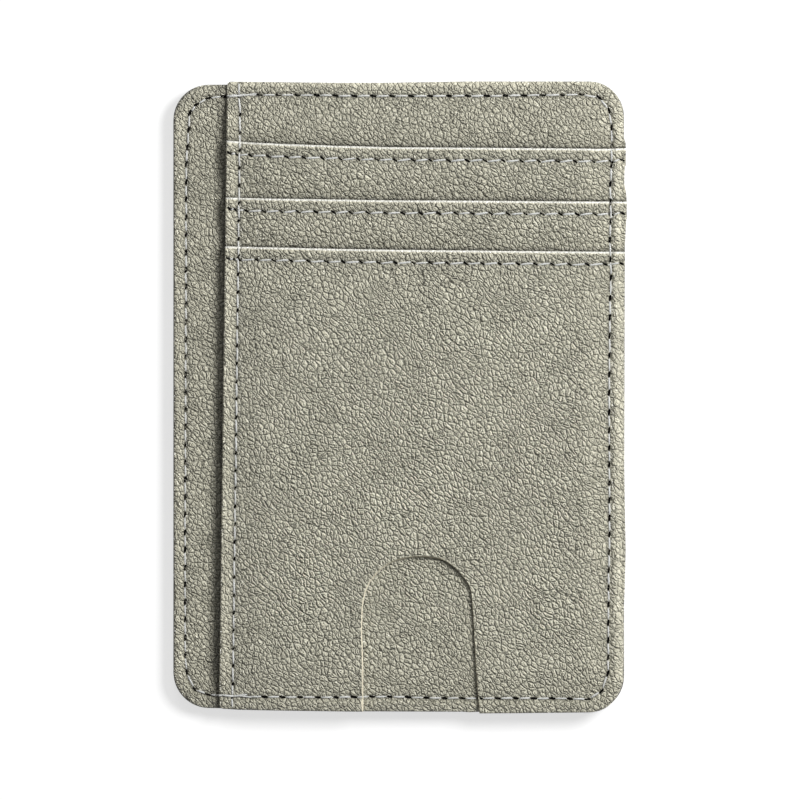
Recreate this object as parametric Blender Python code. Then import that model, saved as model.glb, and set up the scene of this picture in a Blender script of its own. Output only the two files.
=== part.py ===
# Slim upright card holder in pebbled leather.
#
# It lies on its back: +Z points out of the front, +Y is the top edge and -X is the side
# where the cash pocket opens.
# A full-size base panel carries a front stack, sewn on along its top, right and bottom edges,
# and a back stack, sewn on all round. Each stack is a staircase of slot panels with turned hems.
# A thumb arch is cut through the front slot panel, and a clear window sits in the back one.
# Every sewing row lies in a groove of its own in the leather.

import math

import bmesh
import bpy

MM = 0.001

# Outline
HOLDER_WIDTH = 81.6 * MM
HOLDER_HEIGHT = 114.0 * MM
CORNER_RADIUS = 6.4 * MM
STRIP_TOP_DROP = 0.6 * MM       # the base is cut a little lower at its open side
STRIP_BOTTOM_RISE = 0.9 * MM    # the bottom edge climbs from the middle to the open side
STRIP_WIDTH_TOP = 9.6 * MM      # base left showing beside the front stack
STRIP_WIDTH_BOTTOM = 8.1 * MM

# Thicknesses of the sheets and the play between them
LEATHER = 0.55 * MM
HEM_TURN = 0.30 * MM            # leather pared down before it is turned in and glued
CLOTH = 0.12 * MM
FOIL = 0.08 * MM
BOARD = 0.40 * MM
FILM = 0.20 * MM
SEWN_GAP = 0.08 * MM
TUCK_GAP = 0.10 * MM
CASH_GAP = 0.40 * MM

# How far the inner sheets stay back from the outline
LINING_INSET = 0.6 * MM
CLOTH_INSET = 1.5 * MM
FOIL_INSET = 3.2 * MM
BOARD_INSET = 0.5 * MM

# Slots
FIRST_MOUTH_DROP = 12.1 * MM    # from the top edge to the first slot's mouth
SECOND_MOUTH_STEP = 9.6 * MM
THIRD_MOUTH_STEP = 9.1 * MM
MOUTH_RISE = 0.7 * MM           # the front mouths climb towards the open side
HEM_TURN_HEIGHT = 4.0 * MM
TUCK_OVERLAP = 3.2 * MM         # leather that runs on behind the next mouth
MOUTH_LEAD = 0.9 * MM           # a panel is down again this far above the next mouth
CLOTH_OVERLAP = 3.0 * MM        # cloth sewn on behind a panel's lower edge

# Thumb arch in the front slot panel
ARCH_CENTRE_X = 3.3 * MM
ARCH_WIDTH = 20.1 * MM
ARCH_HEIGHT = 28.2 * MM
ARCH_CROWN = 8.0 * MM           # height of its elliptical top
ARCH_FLARE = 1.4 * MM           # the right side leans out towards the bottom edge
ARCH_LEFT_FLARE = 0.25 * MM

# Window in the back slot panel
WINDOW_SIDE_BAND = 16.8 * MM
WINDOW_TOP_BAND = 12.2 * MM
WINDOW_BOTTOM_BAND = 9.0 * MM
WINDOW_CORNER = 3.0 * MM
FILM_MARGIN = 5.0 * MM

# Sewing
SEAM_INSET = 2.4 * MM
OPEN_SEAM_INSET = 2.3 * MM      # from the stack's open edge
HEM_SEAM_DROP = 2.15 * MM       # from a mouth down to its row
WINDOW_SEAM_OFFSET = 2.0 * MM
STITCH_PITCH = 3.2 * MM
THREAD_RADIUS = 0.11 * MM
NECK_RADIUS = 0.075 * MM        # where the thread is drawn into a needle hole
THREAD_COVER = 0.02 * MM        # how far a thread's crest stays below the leather's face
GROOVE_FLOOR_GAP = 0.05 * MM
GROOVE_SIDE_GAP = 0.14 * MM
ROW_END_GAP = 0.45 * MM         # between a row's end and the row that crosses it
RAMP_OUTSIDE = 0.25 * MM        # a row starts to climb this far before an edge
RAMP_INSIDE = 0.40 * MM
STACK_RAMP_INSIDE = 0.90 * MM

ARC_STEPS = 6
NOSE_STEPS = 6
SLOPE_STEPS = 4
THREAD_SIDES = 4

# Colours in linear light: base colour, roughness, metallic, alpha
FINISHES = {
    "leather": ((0.37, 0.36, 0.295), 0.55, 0.0, 1.0),
    "cloth": ((0.16, 0.155, 0.135), 0.9, 0.0, 1.0),
    "thread": ((0.56, 0.56, 0.52), 0.6, 0.0, 1.0),
    "foil": ((0.75, 0.75, 0.76), 0.3, 1.0, 1.0),
    "board": ((0.42, 0.36, 0.27), 0.9, 0.0, 1.0),
    "film": ((0.85, 0.87, 0.87), 0.12, 0.0, 0.35),
}

HALF_WIDTH = HOLDER_WIDTH / 2
HALF_HEIGHT = HOLDER_HEIGHT / 2
NOSE_RADIUS = (LEATHER + HEM_TURN) / 2
MOUTH_STEP = LEATHER + max(HEM_TURN, SEWN_GAP + FILM) + TUCK_GAP
GROOVE_DEPTH = THREAD_COVER + 2 * THREAD_RADIUS + GROOVE_FLOOR_GAP
GROOVE_HALF_WIDTH = THREAD_RADIUS + GROOVE_SIDE_GAP

# Depth of each sheet below the raised face of its own stack: outer face, then inner face
LOW_OUT = MOUTH_STEP
LOW_IN = LOW_OUT + LEATHER
NEAR_CLOTH = LOW_IN + SEWN_GAP
FAR_CLOTH = NEAR_CLOTH + CLOTH + SEWN_GAP
SHIELD = FAR_CLOTH + CLOTH + SEWN_GAP
INSIDE = SHIELD + FOIL + SEWN_GAP
FRONT_STACK = INSIDE + CLOTH + CASH_GAP
BACK_STACK = INSIDE + BOARD + SEWN_GAP

BASE_BACK_Z = BACK_STACK
BASE_FRONT_Z = BASE_BACK_Z + LEATHER
TOTAL_THICKNESS = BASE_FRONT_Z + FRONT_STACK


class Side:
    """One face of the holder: turns a depth below its raised face into a height Z."""

    def __init__(self, raised_z, inward):
        self.raised_z = raised_z
        self.inward = inward

    def z(self, depth):
        return self.raised_z + self.inward * depth


FRONT = Side(TOTAL_THICKNESS, -1)
BACK = Side(0.0, 1)


# Outline of the holder

def corner_drop(x, inset=0.0):
    radius = CORNER_RADIUS - inset
    past = abs(x) - (HALF_WIDTH - CORNER_RADIUS)
    if past <= 0:
        return 0.0
    return radius - math.sqrt(max(0.0, radius ** 2 - min(past, radius) ** 2))


def base_top(x):
    return HALF_HEIGHT - STRIP_TOP_DROP * (HALF_WIDTH - x) / HOLDER_WIDTH


def base_bottom(x):
    return -HALF_HEIGHT + STRIP_BOTTOM_RISE * max(0.0, -x / HALF_WIDTH)


def stack_edge(y):
    """X of the front stack's open edge at height y."""
    share = (HALF_HEIGHT - y) / HOLDER_HEIGHT
    return -HALF_WIDTH + STRIP_WIDTH_TOP + (STRIP_WIDTH_BOTTOM - STRIP_WIDTH_TOP) * share


def corner_stations(side, inset=0.0):
    """X values across one rounded corner, from its straight run out to the edge."""
    radius = CORNER_RADIUS - inset
    start = HALF_WIDTH - CORNER_RADIUS
    angles = [math.pi / 2 * step / ARC_STEPS for step in range(ARC_STEPS + 1)]
    return [side * (start + radius * math.sin(angle)) for angle in angles]


# Slot mouths

MOUTH_DROPS = (FIRST_MOUTH_DROP,
               FIRST_MOUTH_DROP + SECOND_MOUTH_STEP,
               FIRST_MOUTH_DROP + SECOND_MOUTH_STEP + THIRD_MOUTH_STEP)


def front_mouth(number, x):
    climb = min(max(-x / (HALF_WIDTH - STRIP_WIDTH_TOP), 0.0), 1.0)
    return HALF_HEIGHT - MOUTH_DROPS[number] + MOUTH_RISE * climb


def back_mouth(number, x):
    return HALF_HEIGHT - MOUTH_DROPS[number]


# Thumb arch

def arch_side(y, direction):
    """X of the arch's left (-1) or right (1) side at height y below its crown."""
    spring = -HALF_HEIGHT + ARCH_HEIGHT - ARCH_CROWN
    flare = ARCH_FLARE if direction > 0 else ARCH_LEFT_FLARE
    down = max(0.0, spring - y) / (spring + HALF_HEIGHT)
    return ARCH_CENTRE_X + direction * (ARCH_WIDTH / 2 + flare * down)


def arch_points():
    """The arch's outline as (x, y), from the bottom edge on the left to that on the right."""
    spring = -HALF_HEIGHT + ARCH_HEIGHT - ARCH_CROWN
    left_foot = arch_side(-HALF_HEIGHT, -1)
    right_foot = arch_side(-HALF_HEIGHT, 1)
    points = [(left_foot, base_bottom(left_foot))]
    for step in range(2 * ARC_STEPS + 1):
        angle = math.pi * (1 - step / (2 * ARC_STEPS))
        x = ARCH_CENTRE_X + ARCH_WIDTH / 2 * math.cos(angle)
        points.append((x, spring + ARCH_CROWN * math.sin(angle)))
    points.append((right_foot, base_bottom(right_foot)))
    return points


# Mesh helpers

def new_object(name, mesh_builder, finish):
    mesh = bpy.data.meshes.new(name)
    bmesh.ops.recalc_face_normals(mesh_builder, faces=mesh_builder.faces)
    mesh_builder.to_mesh(mesh)
    mesh_builder.free()
    piece = bpy.data.objects.new(name, mesh)
    bpy.context.scene.collection.objects.link(piece)
    if finish:
        mesh.materials.append(MATERIALS[finish])
        mesh.shade_smooth()
        mesh.set_sharp_from_angle(angle=math.radians(35))
    return piece


def loft(loops, closed=False):
    """Skin a list of equal loops of points; an open loft gets flat end caps."""
    builder = bmesh.new()
    rings = [[builder.verts.new(point) for point in loop] for loop in loops]
    pairs = list(zip(rings, rings[1:]))
    if closed:
        pairs.append((rings[-1], rings[0]))
    for first, second in pairs:
        for index in range(len(first)):
            after = (index + 1) % len(first)
            builder.faces.new((first[index], first[after], second[after], second[index]))
    if not closed:
        builder.faces.new(rings[0])
        builder.faces.new(list(reversed(rings[-1])))
    return builder


def sheet(name, stations, section, side, finish):
    """Loft a sheet across X: section(x) gives (y, depth) points, a station is x or x(y)."""
    loops = []
    for station in stations:
        if callable(station):
            loop = [(station(y), y, side.z(depth)) for y, depth in section(station(0.0))]
        else:
            loop = [(station, y, side.z(depth)) for y, depth in section(station)]
        loops.append(loop)
    return new_object(name, loft(loops), finish)


def flat_section(low, high, outer, inner):
    return [(low, outer), (high, outer), (high, inner), (low, inner)]


# Leather panels

def slope_depths():
    """Share of the way down from the raised face, along a panel that settles behind the next."""
    shares = [step / SLOPE_STEPS for step in range(SLOPE_STEPS + 1)]
    return [(share, share * share * (3 - 2 * share)) for share in shares]


def slot_section(mouth, next_mouth, low):
    """A slot panel cut along Y: turned hem, nose, and the slope down behind the next mouth."""
    turn_end = mouth - HEM_TURN_HEIGHT
    outer = []
    if next_mouth is None:
        outer.append((low, 0.0))
        inner = [(low, LEATHER)]
    else:
        settled = next_mouth + MOUTH_LEAD
        for share, drop in slope_depths():
            outer.append((turn_end + (settled - turn_end) * share, MOUTH_STEP * drop))
        outer.append((low, MOUTH_STEP))
        outer.reverse()
        inner = [(y, depth + LEATHER) for y, depth in reversed(outer)][1:]
    nose = []
    for step in range(NOSE_STEPS + 1):
        angle = math.pi * step / NOSE_STEPS
        nose.append((mouth - NOSE_RADIUS + NOSE_RADIUS * math.sin(angle),
                     NOSE_RADIUS - NOSE_RADIUS * math.cos(angle)))
    turn = [(turn_end, 2 * NOSE_RADIUS), (turn_end, LEATHER)]
    return outer + nose + turn + inner


def slot_panel(name, side, stations, mouth, number, low):
    def section(x):
        last = number == len(MOUTH_DROPS) - 1
        next_mouth = None if last else mouth(number + 1, x)
        return slot_section(mouth(number, x), next_mouth, low(x))
    return sheet(name, stations, section, side, "leather")


def tucked_end(mouth, number):
    """Lower edge of a panel that ends behind the mouth after its own."""
    return lambda x: mouth(number, x) - TUCK_OVERLAP


def front_panels():
    edge_to_right = [stack_edge, 0.0, HALF_WIDTH]
    right_corner = corner_stations(1)

    def top_section(x):
        return flat_section(front_mouth(0, x) - TUCK_OVERLAP, HALF_HEIGHT - corner_drop(x),
                            LOW_OUT, LOW_IN)

    def foot(x):
        return base_bottom(x) + corner_drop(x)

    arch = arch_points()
    arch_heights = dict(arch)

    def arched_foot(x):
        return arch_heights.get(x, foot(x))

    arch_stations = [stack_edge] + [x for x, y in arch] + right_corner
    full_stations = [stack_edge, 0.0] + right_corner
    return {
        "top_panel": sheet("top_panel", full_stations, top_section, FRONT, "leather"),
        "slot_1_panel": slot_panel("slot_1_panel", FRONT, edge_to_right, front_mouth, 0,
                                   tucked_end(front_mouth, 1)),
        "slot_2_panel": slot_panel("slot_2_panel", FRONT, full_stations, front_mouth, 1, foot),
        "slot_3_panel": slot_panel("slot_3_panel", FRONT, arch_stations, front_mouth, 2, arched_foot),
    }


def both_corners():
    return list(reversed(corner_stations(-1))) + [0.0] + corner_stations(1)


def base_panel():
    def section(x):
        return flat_section(base_bottom(x) + corner_drop(x), base_top(x) - corner_drop(x),
                            FRONT_STACK, FRONT_STACK + LEATHER)
    return sheet("base_panel", both_corners(), section, FRONT, "leather")


def back_panels():
    across = [-HALF_WIDTH, HALF_WIDTH]

    def top_section(x):
        return flat_section(back_mouth(0, x) - TUCK_OVERLAP, base_top(x) - corner_drop(x),
                            LOW_OUT, LOW_IN)

    def foot(x):
        return base_bottom(x) + corner_drop(x)

    return {
        "back_top_panel": sheet("back_top_panel", both_corners(), top_section, BACK, "leather"),
        "back_slot_1_panel": slot_panel("back_slot_1_panel", BACK, across, back_mouth, 0,
                                        tucked_end(back_mouth, 1)),
        "back_slot_2_panel": slot_panel("back_slot_2_panel", BACK, both_corners(), back_mouth, 1, foot),
        "window_panel": slot_panel("window_panel", BACK, both_corners(), back_mouth, 2, foot),
    }


# Window and its film

def window_box():
    left = -HALF_WIDTH + WINDOW_SIDE_BAND
    right = HALF_WIDTH - WINDOW_SIDE_BAND
    low = -HALF_HEIGHT + WINDOW_BOTTOM_BAND
    high = back_mouth(2, 0.0) - WINDOW_TOP_BAND
    return left, right, low, high


def rounded_loop(left, right, low, high, radius, steps):
    """Corner points of a rounded rectangle, counter-clockwise from its lower right corner."""
    centres = ((right - radius, low + radius), (right - radius, high - radius),
               (left + radius, high - radius), (left + radius, low + radius))
    points = []
    for number, (centre_x, centre_y) in enumerate(centres):
        for step in range(steps + 1):
            angle = math.pi / 2 * (number - 1 + step / steps)
            points.append((centre_x + radius * math.cos(angle), centre_y + radius * math.sin(angle)))
    return points


def prism(name, outline, low_z, high_z, finish):
    loops = [[(x, y, z) for x, y in outline] for z in (low_z, high_z)]
    return new_object(name, loft(loops), finish)


def window_film():
    left, right, low, high = window_box()
    outline = rounded_loop(left - FILM_MARGIN, right + FILM_MARGIN, low - FILM_MARGIN,
                           high + FILM_MARGIN, WINDOW_CORNER, 2)
    outer = LEATHER + SEWN_GAP
    return prism("window_film", outline, BACK.z(outer), BACK.z(outer + FILM), "film")


def window_cutter():
    outline = rounded_loop(*window_box(), WINDOW_CORNER, ARC_STEPS)
    return prism("window_cutter", outline, -LEATHER, 2 * LEATHER, None)


# Inner sheets

def inner_sheet(name, side, depth, thickness, inset, top, finish, edge=None):
    """A plain sheet that follows the outline at an inset, from top(x) down to the bottom edge."""
    left = list(reversed(corner_stations(-1, inset))) if edge is None else [edge]
    stations = left + [0.0] + corner_stations(1, inset)

    def section(x):
        low = base_bottom(x) + inset + corner_drop(x, inset)
        return flat_section(low, top(x), depth, depth + thickness)
    return sheet(name, stations, section, side, finish)


def full_top(inset):
    return lambda x: base_top(x) - inset - corner_drop(x, inset)


def cloth_top(mouth, number):
    return lambda x: mouth(number, x) - TUCK_OVERLAP + CLOTH_OVERLAP


def inner_sheets():
    inset_edge = lambda inset: lambda y: stack_edge(y) + inset
    inner_sheet("top_pocket_cloth", FRONT, FAR_CLOTH, CLOTH, CLOTH_INSET,
                cloth_top(front_mouth, 0), "cloth", inset_edge(CLOTH_INSET))
    inner_sheet("slot_1_pocket_cloth", FRONT, NEAR_CLOTH, CLOTH, CLOTH_INSET,
                cloth_top(front_mouth, 1), "cloth", inset_edge(CLOTH_INSET))
    inner_sheet("front_shield_foil", FRONT, SHIELD, FOIL, FOIL_INSET,
                full_top(FOIL_INSET), "foil", inset_edge(FOIL_INSET))
    inner_sheet("cash_pocket_lining", FRONT, INSIDE, CLOTH, LINING_INSET,
                full_top(LINING_INSET), "cloth", inset_edge(LINING_INSET))
    inner_sheet("stiffener_board", BACK, INSIDE, BOARD, BOARD_INSET, full_top(BOARD_INSET), "board")
    inner_sheet("back_shield_foil", BACK, SHIELD, FOIL, FOIL_INSET, full_top(FOIL_INSET), "foil")
    inner_sheet("back_top_pocket_cloth", BACK, FAR_CLOTH, CLOTH, CLOTH_INSET,
                cloth_top(back_mouth, 0), "cloth")
    inner_sheet("back_slot_1_pocket_cloth", BACK, NEAR_CLOTH, CLOTH, CLOTH_INSET,
                cloth_top(back_mouth, 1), "cloth")


# Sewing routes: points (x, y, depth of the leather's face) along each row

def down_a_side(x, mouth):
    """A row that runs down across the three mouths at x(y), or at a fixed x."""
    place = x if callable(x) else lambda y: x
    points = []
    for number in range(len(MOUTH_DROPS)):
        at = mouth(number, place(HALF_HEIGHT - MOUTH_DROPS[number]))
        heights = [(at + RAMP_OUTSIDE, MOUTH_STEP), (at - RAMP_INSIDE, 0.0)]
        if number + 1 < len(MOUTH_DROPS):
            turn_end = at - HEM_TURN_HEIGHT
            settled = mouth(number + 1, place(HALF_HEIGHT - MOUTH_DROPS[number + 1])) + MOUTH_LEAD
            for share, drop in slope_depths():
                heights.append((turn_end + (settled - turn_end) * share, MOUTH_STEP * drop))
        points += [(place(y), y, depth) for y, depth in heights]
    return points


def seam_corner(side_x, top, depth, start_angle):
    """A quarter turn of the outer row, clockwise from start_angle."""
    radius = CORNER_RADIUS - SEAM_INSET
    centre_x = side_x * (HALF_WIDTH - CORNER_RADIUS)
    centre_y = base_top(centre_x) - CORNER_RADIUS if top else base_bottom(centre_x) + CORNER_RADIUS
    points = []
    for step in range(ARC_STEPS + 1):
        angle = start_angle - math.pi / 2 * step / ARC_STEPS
        points.append((centre_x + radius * math.cos(angle), centre_y + radius * math.sin(angle), depth))
    return points


def front_outer_route():
    """Once round the front, clockwise from the stack's top left."""
    top_y = base_top(0.0) - SEAM_INSET
    bottom_y = base_bottom(0.0) + SEAM_INSET
    top_edge = stack_edge(top_y)
    bottom_edge = stack_edge(bottom_y)
    row_y = lambda x: base_bottom(x) + SEAM_INSET
    arch_right = arch_side(row_y(ARCH_CENTRE_X), 1)
    arch_left = arch_side(row_y(ARCH_CENTRE_X), -1)
    bottom_run = [(arch_right + RAMP_INSIDE, 0.0), (arch_right - RAMP_OUTSIDE, MOUTH_STEP),
                  (arch_left + RAMP_OUTSIDE, MOUTH_STEP), (arch_left - RAMP_INSIDE, 0.0),
                  (bottom_edge + STACK_RAMP_INSIDE, 0.0), (bottom_edge - RAMP_OUTSIDE, FRONT_STACK)]
    top_run = [(top_edge - RAMP_OUTSIDE, FRONT_STACK), (top_edge + STACK_RAMP_INSIDE, MOUTH_STEP)]
    route = seam_corner(1, True, MOUTH_STEP, math.pi / 2)
    route += down_a_side(HALF_WIDTH - SEAM_INSET, front_mouth)
    route += seam_corner(1, False, 0.0, 0.0)
    route += [(x, row_y(x), depth) for x, depth in bottom_run]
    route += seam_corner(-1, False, FRONT_STACK, -math.pi / 2)
    route += seam_corner(-1, True, FRONT_STACK, math.pi)
    route += [(x, base_top(x) - SEAM_INSET, depth) for x, depth in top_run]
    return route


def back_outer_route():
    side_x = HALF_WIDTH - SEAM_INSET
    route = seam_corner(1, True, MOUTH_STEP, math.pi / 2)
    route += down_a_side(side_x, back_mouth)
    route += seam_corner(1, False, 0.0, 0.0)
    route += seam_corner(-1, False, 0.0, -math.pi / 2)
    route += list(reversed(down_a_side(-side_x, back_mouth)))
    route += seam_corner(-1, True, MOUTH_STEP, math.pi)
    return route


def open_edge_route():
    """The row down the stack's open edge, between the outer row's top and bottom runs."""
    place = lambda y: stack_edge(y) + OPEN_SEAM_INSET
    start_y = base_top(place(HALF_HEIGHT)) - SEAM_INSET - ROW_END_GAP
    end_y = base_bottom(place(-HALF_HEIGHT)) + SEAM_INSET + ROW_END_GAP
    route = [(place(start_y), start_y, MOUTH_STEP)]
    route += down_a_side(place, front_mouth)
    route.append((place(end_y), end_y, 0.0))
    return route


def hem_route(mouth, number, left, right):
    bends = [left, 0.0, right] if mouth is front_mouth else [left, right]
    return [(x, mouth(number, x) - HEM_SEAM_DROP, 0.0) for x in bends]


def front_hem_route(number):
    row_y = front_mouth(number, -HALF_WIDTH) - HEM_SEAM_DROP
    left = stack_edge(row_y) + OPEN_SEAM_INSET + ROW_END_GAP
    return hem_route(front_mouth, number, left, HALF_WIDTH - SEAM_INSET - ROW_END_GAP)


def back_hem_route(number):
    reach = HALF_WIDTH - SEAM_INSET - ROW_END_GAP
    return hem_route(back_mouth, number, -reach, reach)


def window_route():
    left, right, low, high = window_box()
    out = WINDOW_SEAM_OFFSET
    outline = rounded_loop(left - out, right + out, low - out, high + out,
                           WINDOW_CORNER + out, ARC_STEPS)
    return [(x, y, 0.0) for x, y in outline]


# Threads and the grooves that they lie in

def sideways(points, index, closed):
    """Unit normal in the sheet's plane at one point of a route, lengthened at a bend."""
    last = len(points) - 1
    before = points[index - 1] if index > 0 or closed else points[index]
    after = points[(index + 1) % len(points)] if index < last or closed else points[index]
    here = points[index]
    arms = []
    for start, end in ((before, here), (here, after)):
        length = math.hypot(end[0] - start[0], end[1] - start[1])
        if length > 0:
            arms.append(((end[0] - start[0]) / length, (end[1] - start[1]) / length))
    along_x = sum(arm[0] for arm in arms)
    along_y = sum(arm[1] for arm in arms)
    length = math.hypot(along_x, along_y)
    along_x, along_y = along_x / length, along_y / length
    stretch = 1 / (along_x * arms[0][0] + along_y * arms[0][1])
    return -along_y * stretch, along_x * stretch


def swept(points, closed, ring):
    """Loft ring(index), a list of (sideways, depth) offsets, along points (x, y, depth)."""
    loops = []
    for index, (x, y, depth) in enumerate(points):
        normal_x, normal_y = sideways(points, index, closed)
        loops.append([(x + across * normal_x, y + across * normal_y, depth + down)
                      for across, down in ring(index)])
    return loops


def place_on(side, loops):
    return [[(x, y, side.z(depth)) for x, y, depth in loop] for loop in loops]


def groove_cutter(name, side, route, closed):
    """A tall rectangle swept along a row: its floor lies in the leather, its top in free air."""
    floor = GROOVE_DEPTH
    top = -TOTAL_THICKNESS
    half = GROOVE_HALF_WIDTH
    ring = lambda index: ((-half, floor), (half, floor), (half, top), (-half, top))
    extended = list(route)
    if not closed:
        extended[0] = lengthened(route[1], route[0])
        extended[-1] = lengthened(route[-2], route[-1])
    cutter = new_object(name, loft(place_on(side, swept(extended, closed, ring)), closed), None)
    cutter.hide_render = True
    cutter.display_type = "WIRE"
    return cutter


def lengthened(inner, end):
    """The end point of a row, moved out so that its groove is longer than its thread."""
    length = math.hypot(end[0] - inner[0], end[1] - inner[1])
    reach = GROOVE_SIDE_GAP / length
    return (end[0] + (end[0] - inner[0]) * reach, end[1] + (end[1] - inner[1]) * reach, end[2])


def stitched_points(route, closed):
    """Points along a row with their radii: one at each needle hole and one on each stitch."""
    path = route + [route[0]] if closed else route
    travelled = [0.0]
    for start, end in zip(path, path[1:]):
        travelled.append(travelled[-1] + math.hypot(end[0] - start[0], end[1] - start[1]))
    stitches = max(2, round(travelled[-1] / STITCH_PITCH))
    half_stitch = travelled[-1] / (2 * stitches)
    wanted = {index * half_stitch: index for index in range(2 * stitches + 1)}
    for distance in travelled:
        if all(abs(distance - other) > THREAD_RADIUS for other in wanted):
            wanted[distance] = None
    points, radii = [], []
    for distance in sorted(wanted):
        if closed and distance > travelled[-1] - THREAD_RADIUS:
            continue
        leg = max(0, min(len(path) - 2, sum(1 for mark in travelled if mark <= distance) - 1))
        share = (distance - travelled[leg]) / (travelled[leg + 1] - travelled[leg])
        start, end = path[leg], path[leg + 1]
        points.append(tuple(a + (b - a) * share for a, b in zip(start, end)))
        hole = wanted[distance] is not None and wanted[distance] % 2 == 0
        radii.append(NECK_RADIUS if hole else THREAD_RADIUS)
    return points, radii


def thread(name, side, route, closed):
    """One continuous thread, drawn in at each needle hole."""
    points, radii = stitched_points(route, closed)
    sunk = THREAD_COVER + THREAD_RADIUS

    def ring(index):
        corners = []
        for corner in range(THREAD_SIDES):
            angle = 2 * math.pi * corner / THREAD_SIDES
            corners.append((radii[index] * math.cos(angle), sunk + radii[index] * math.sin(angle)))
        return corners
    return new_object(name, loft(place_on(side, swept(points, closed, ring)), closed), "thread")


def sew(thread_name, side, route, closed, panels):
    """Lay a thread along a row and cut its groove into the panels that the row crosses."""
    thread(thread_name, side, route, closed)
    cutter = groove_cutter(thread_name + "_groove", side, route, closed)
    for panel in panels:
        cut = panel.modifiers.new(thread_name + "_groove", "BOOLEAN")
        cut.operation = "DIFFERENCE"
        cut.solver = "EXACT"
        cut.object = cutter


# Materials and assembly

def make_materials():
    made = {}
    for name, (colour, roughness, metallic, alpha) in FINISHES.items():
        material = bpy.data.materials.new(name)
        material.use_nodes = True
        shader = material.node_tree.nodes["Principled BSDF"]
        shader.inputs["Base Color"].default_value = (*colour, 1.0)
        shader.inputs["Roughness"].default_value = roughness
        shader.inputs["Metallic"].default_value = metallic
        shader.inputs["Alpha"].default_value = alpha
        made[name] = material
    return made


def clear_scene():
    for leftover in list(bpy.data.objects):
        bpy.data.objects.remove(leftover, do_unlink=True)


def cut_window(panel):
    cutter = window_cutter()
    cutter.hide_render = True
    cutter.display_type = "WIRE"
    cut = panel.modifiers.new("window", "BOOLEAN")
    cut.operation = "DIFFERENCE"
    cut.solver = "EXACT"
    cut.object = cutter


def build():
    base = base_panel()
    front = front_panels()
    back = back_panels()
    inner_sheets()
    window_film()
    cut_window(back["window_panel"])

    front_slots = [front["slot_1_panel"], front["slot_2_panel"], front["slot_3_panel"]]
    back_slots = [back["back_slot_1_panel"], back["back_slot_2_panel"], back["window_panel"]]
    sew("outer_thread_front", FRONT, front_outer_route(), True, [base, front["top_panel"]] + front_slots)
    sew("outer_thread_back", BACK, back_outer_route(), True, [back["back_top_panel"]] + back_slots)
    sew("open_edge_thread", FRONT, open_edge_route(), False, [front["top_panel"]] + front_slots)
    for number, (front_slot, back_slot) in enumerate(zip(front_slots, back_slots)):
        row = str(number + 1)
        sew("slot_" + row + "_hem_thread", FRONT, front_hem_route(number), False, [front_slot])
        sew("back_hem_" + row + "_thread", BACK, back_hem_route(number), False, [back_slot])
    sew("window_thread", BACK, window_route(), True, [back["window_panel"]])


clear_scene()
MATERIALS = make_materials()
build()
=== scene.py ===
# Slim upright card holder in pebbled leather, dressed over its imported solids.
#
# It lies on its back: +Z comes out of the front, +Y is the top edge, and the cash pocket opens at -X.
# Shapes are worked out in millimetres and become metres when a mesh is made.

import math
import random

import bmesh
import bpy
import numpy as np
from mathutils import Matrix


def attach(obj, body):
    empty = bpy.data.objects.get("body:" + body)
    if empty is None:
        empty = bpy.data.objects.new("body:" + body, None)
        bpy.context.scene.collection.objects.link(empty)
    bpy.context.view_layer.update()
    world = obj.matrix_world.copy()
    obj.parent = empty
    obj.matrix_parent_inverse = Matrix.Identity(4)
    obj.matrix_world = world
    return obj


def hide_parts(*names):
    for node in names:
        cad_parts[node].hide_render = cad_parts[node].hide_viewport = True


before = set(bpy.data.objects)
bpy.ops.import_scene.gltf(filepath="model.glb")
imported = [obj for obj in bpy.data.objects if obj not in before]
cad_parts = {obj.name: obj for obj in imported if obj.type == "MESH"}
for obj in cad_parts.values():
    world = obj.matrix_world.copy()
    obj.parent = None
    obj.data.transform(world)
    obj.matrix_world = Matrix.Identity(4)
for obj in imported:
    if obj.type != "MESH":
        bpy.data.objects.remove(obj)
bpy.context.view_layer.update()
print("frame loaded:", len(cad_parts), "nodes")


# Nodes: a source is a node's output, or a plain value for the socket

def nodeOf(tree, kind, **fixed):
    made = tree.nodes.new("ShaderNode" + kind)
    for key, value in fixed.items():
        setattr(made, key, value)
    return made


def plug(tree, source, node, socket):
    if isinstance(source, bpy.types.NodeSocket):
        tree.links.new(source, node.inputs[socket])
    else:
        node.inputs[socket].default_value = source


def joined(tree, kind, *sources, **fixed):
    # the sources go into the node's sockets in order
    made = nodeOf(tree, kind, **fixed)
    for socket, source in enumerate(sources):
        plug(tree, source, made, socket)
    return made.outputs[0]


def sums(tree, operation, *sources):
    return joined(tree, "Math", *sources, operation=operation)


def ramp(tree, value, fromLow, fromHigh, toLow=0.0, toHigh=1.0, kind="SMOOTHSTEP"):
    return joined(tree, "MapRange", value, fromLow, fromHigh, toLow, toHigh, interpolation_type=kind)


def noiseOf(tree, vector, scale, detail=2.0, rough=0.5, output="Fac"):
    made = nodeOf(tree, "TexNoise")
    for socket, source in (("Vector", vector), ("Scale", scale), ("Detail", detail), ("Roughness", rough)):
        plug(tree, source, made, socket)
    return made.outputs[output]


def cellsOf(tree, vector, scale, feature="DISTANCE_TO_EDGE"):
    made = nodeOf(tree, "TexVoronoi", voronoi_dimensions="2D", feature=feature)
    plug(tree, vector, made, "Vector")
    plug(tree, scale, made, "Scale")
    return made.outputs["Distance"]


def bandsOf(tree, vector, direction, scale, distortion):
    made = nodeOf(tree, "TexWave", wave_type="BANDS", bands_direction=direction, wave_profile="SIN")
    for socket, source in (("Vector", vector), ("Scale", scale), ("Distortion", distortion)):
        plug(tree, source, made, socket)
    return made.outputs["Fac"]


def mixColours(tree, share, first, second):
    made = nodeOf(tree, "Mix", data_type="RGBA")
    for socket, source in ((0, share), (6, first), (7, second)):
        plug(tree, (*source, 1) if isinstance(source, tuple) else source, made, socket)
    return made.outputs[2]


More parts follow.
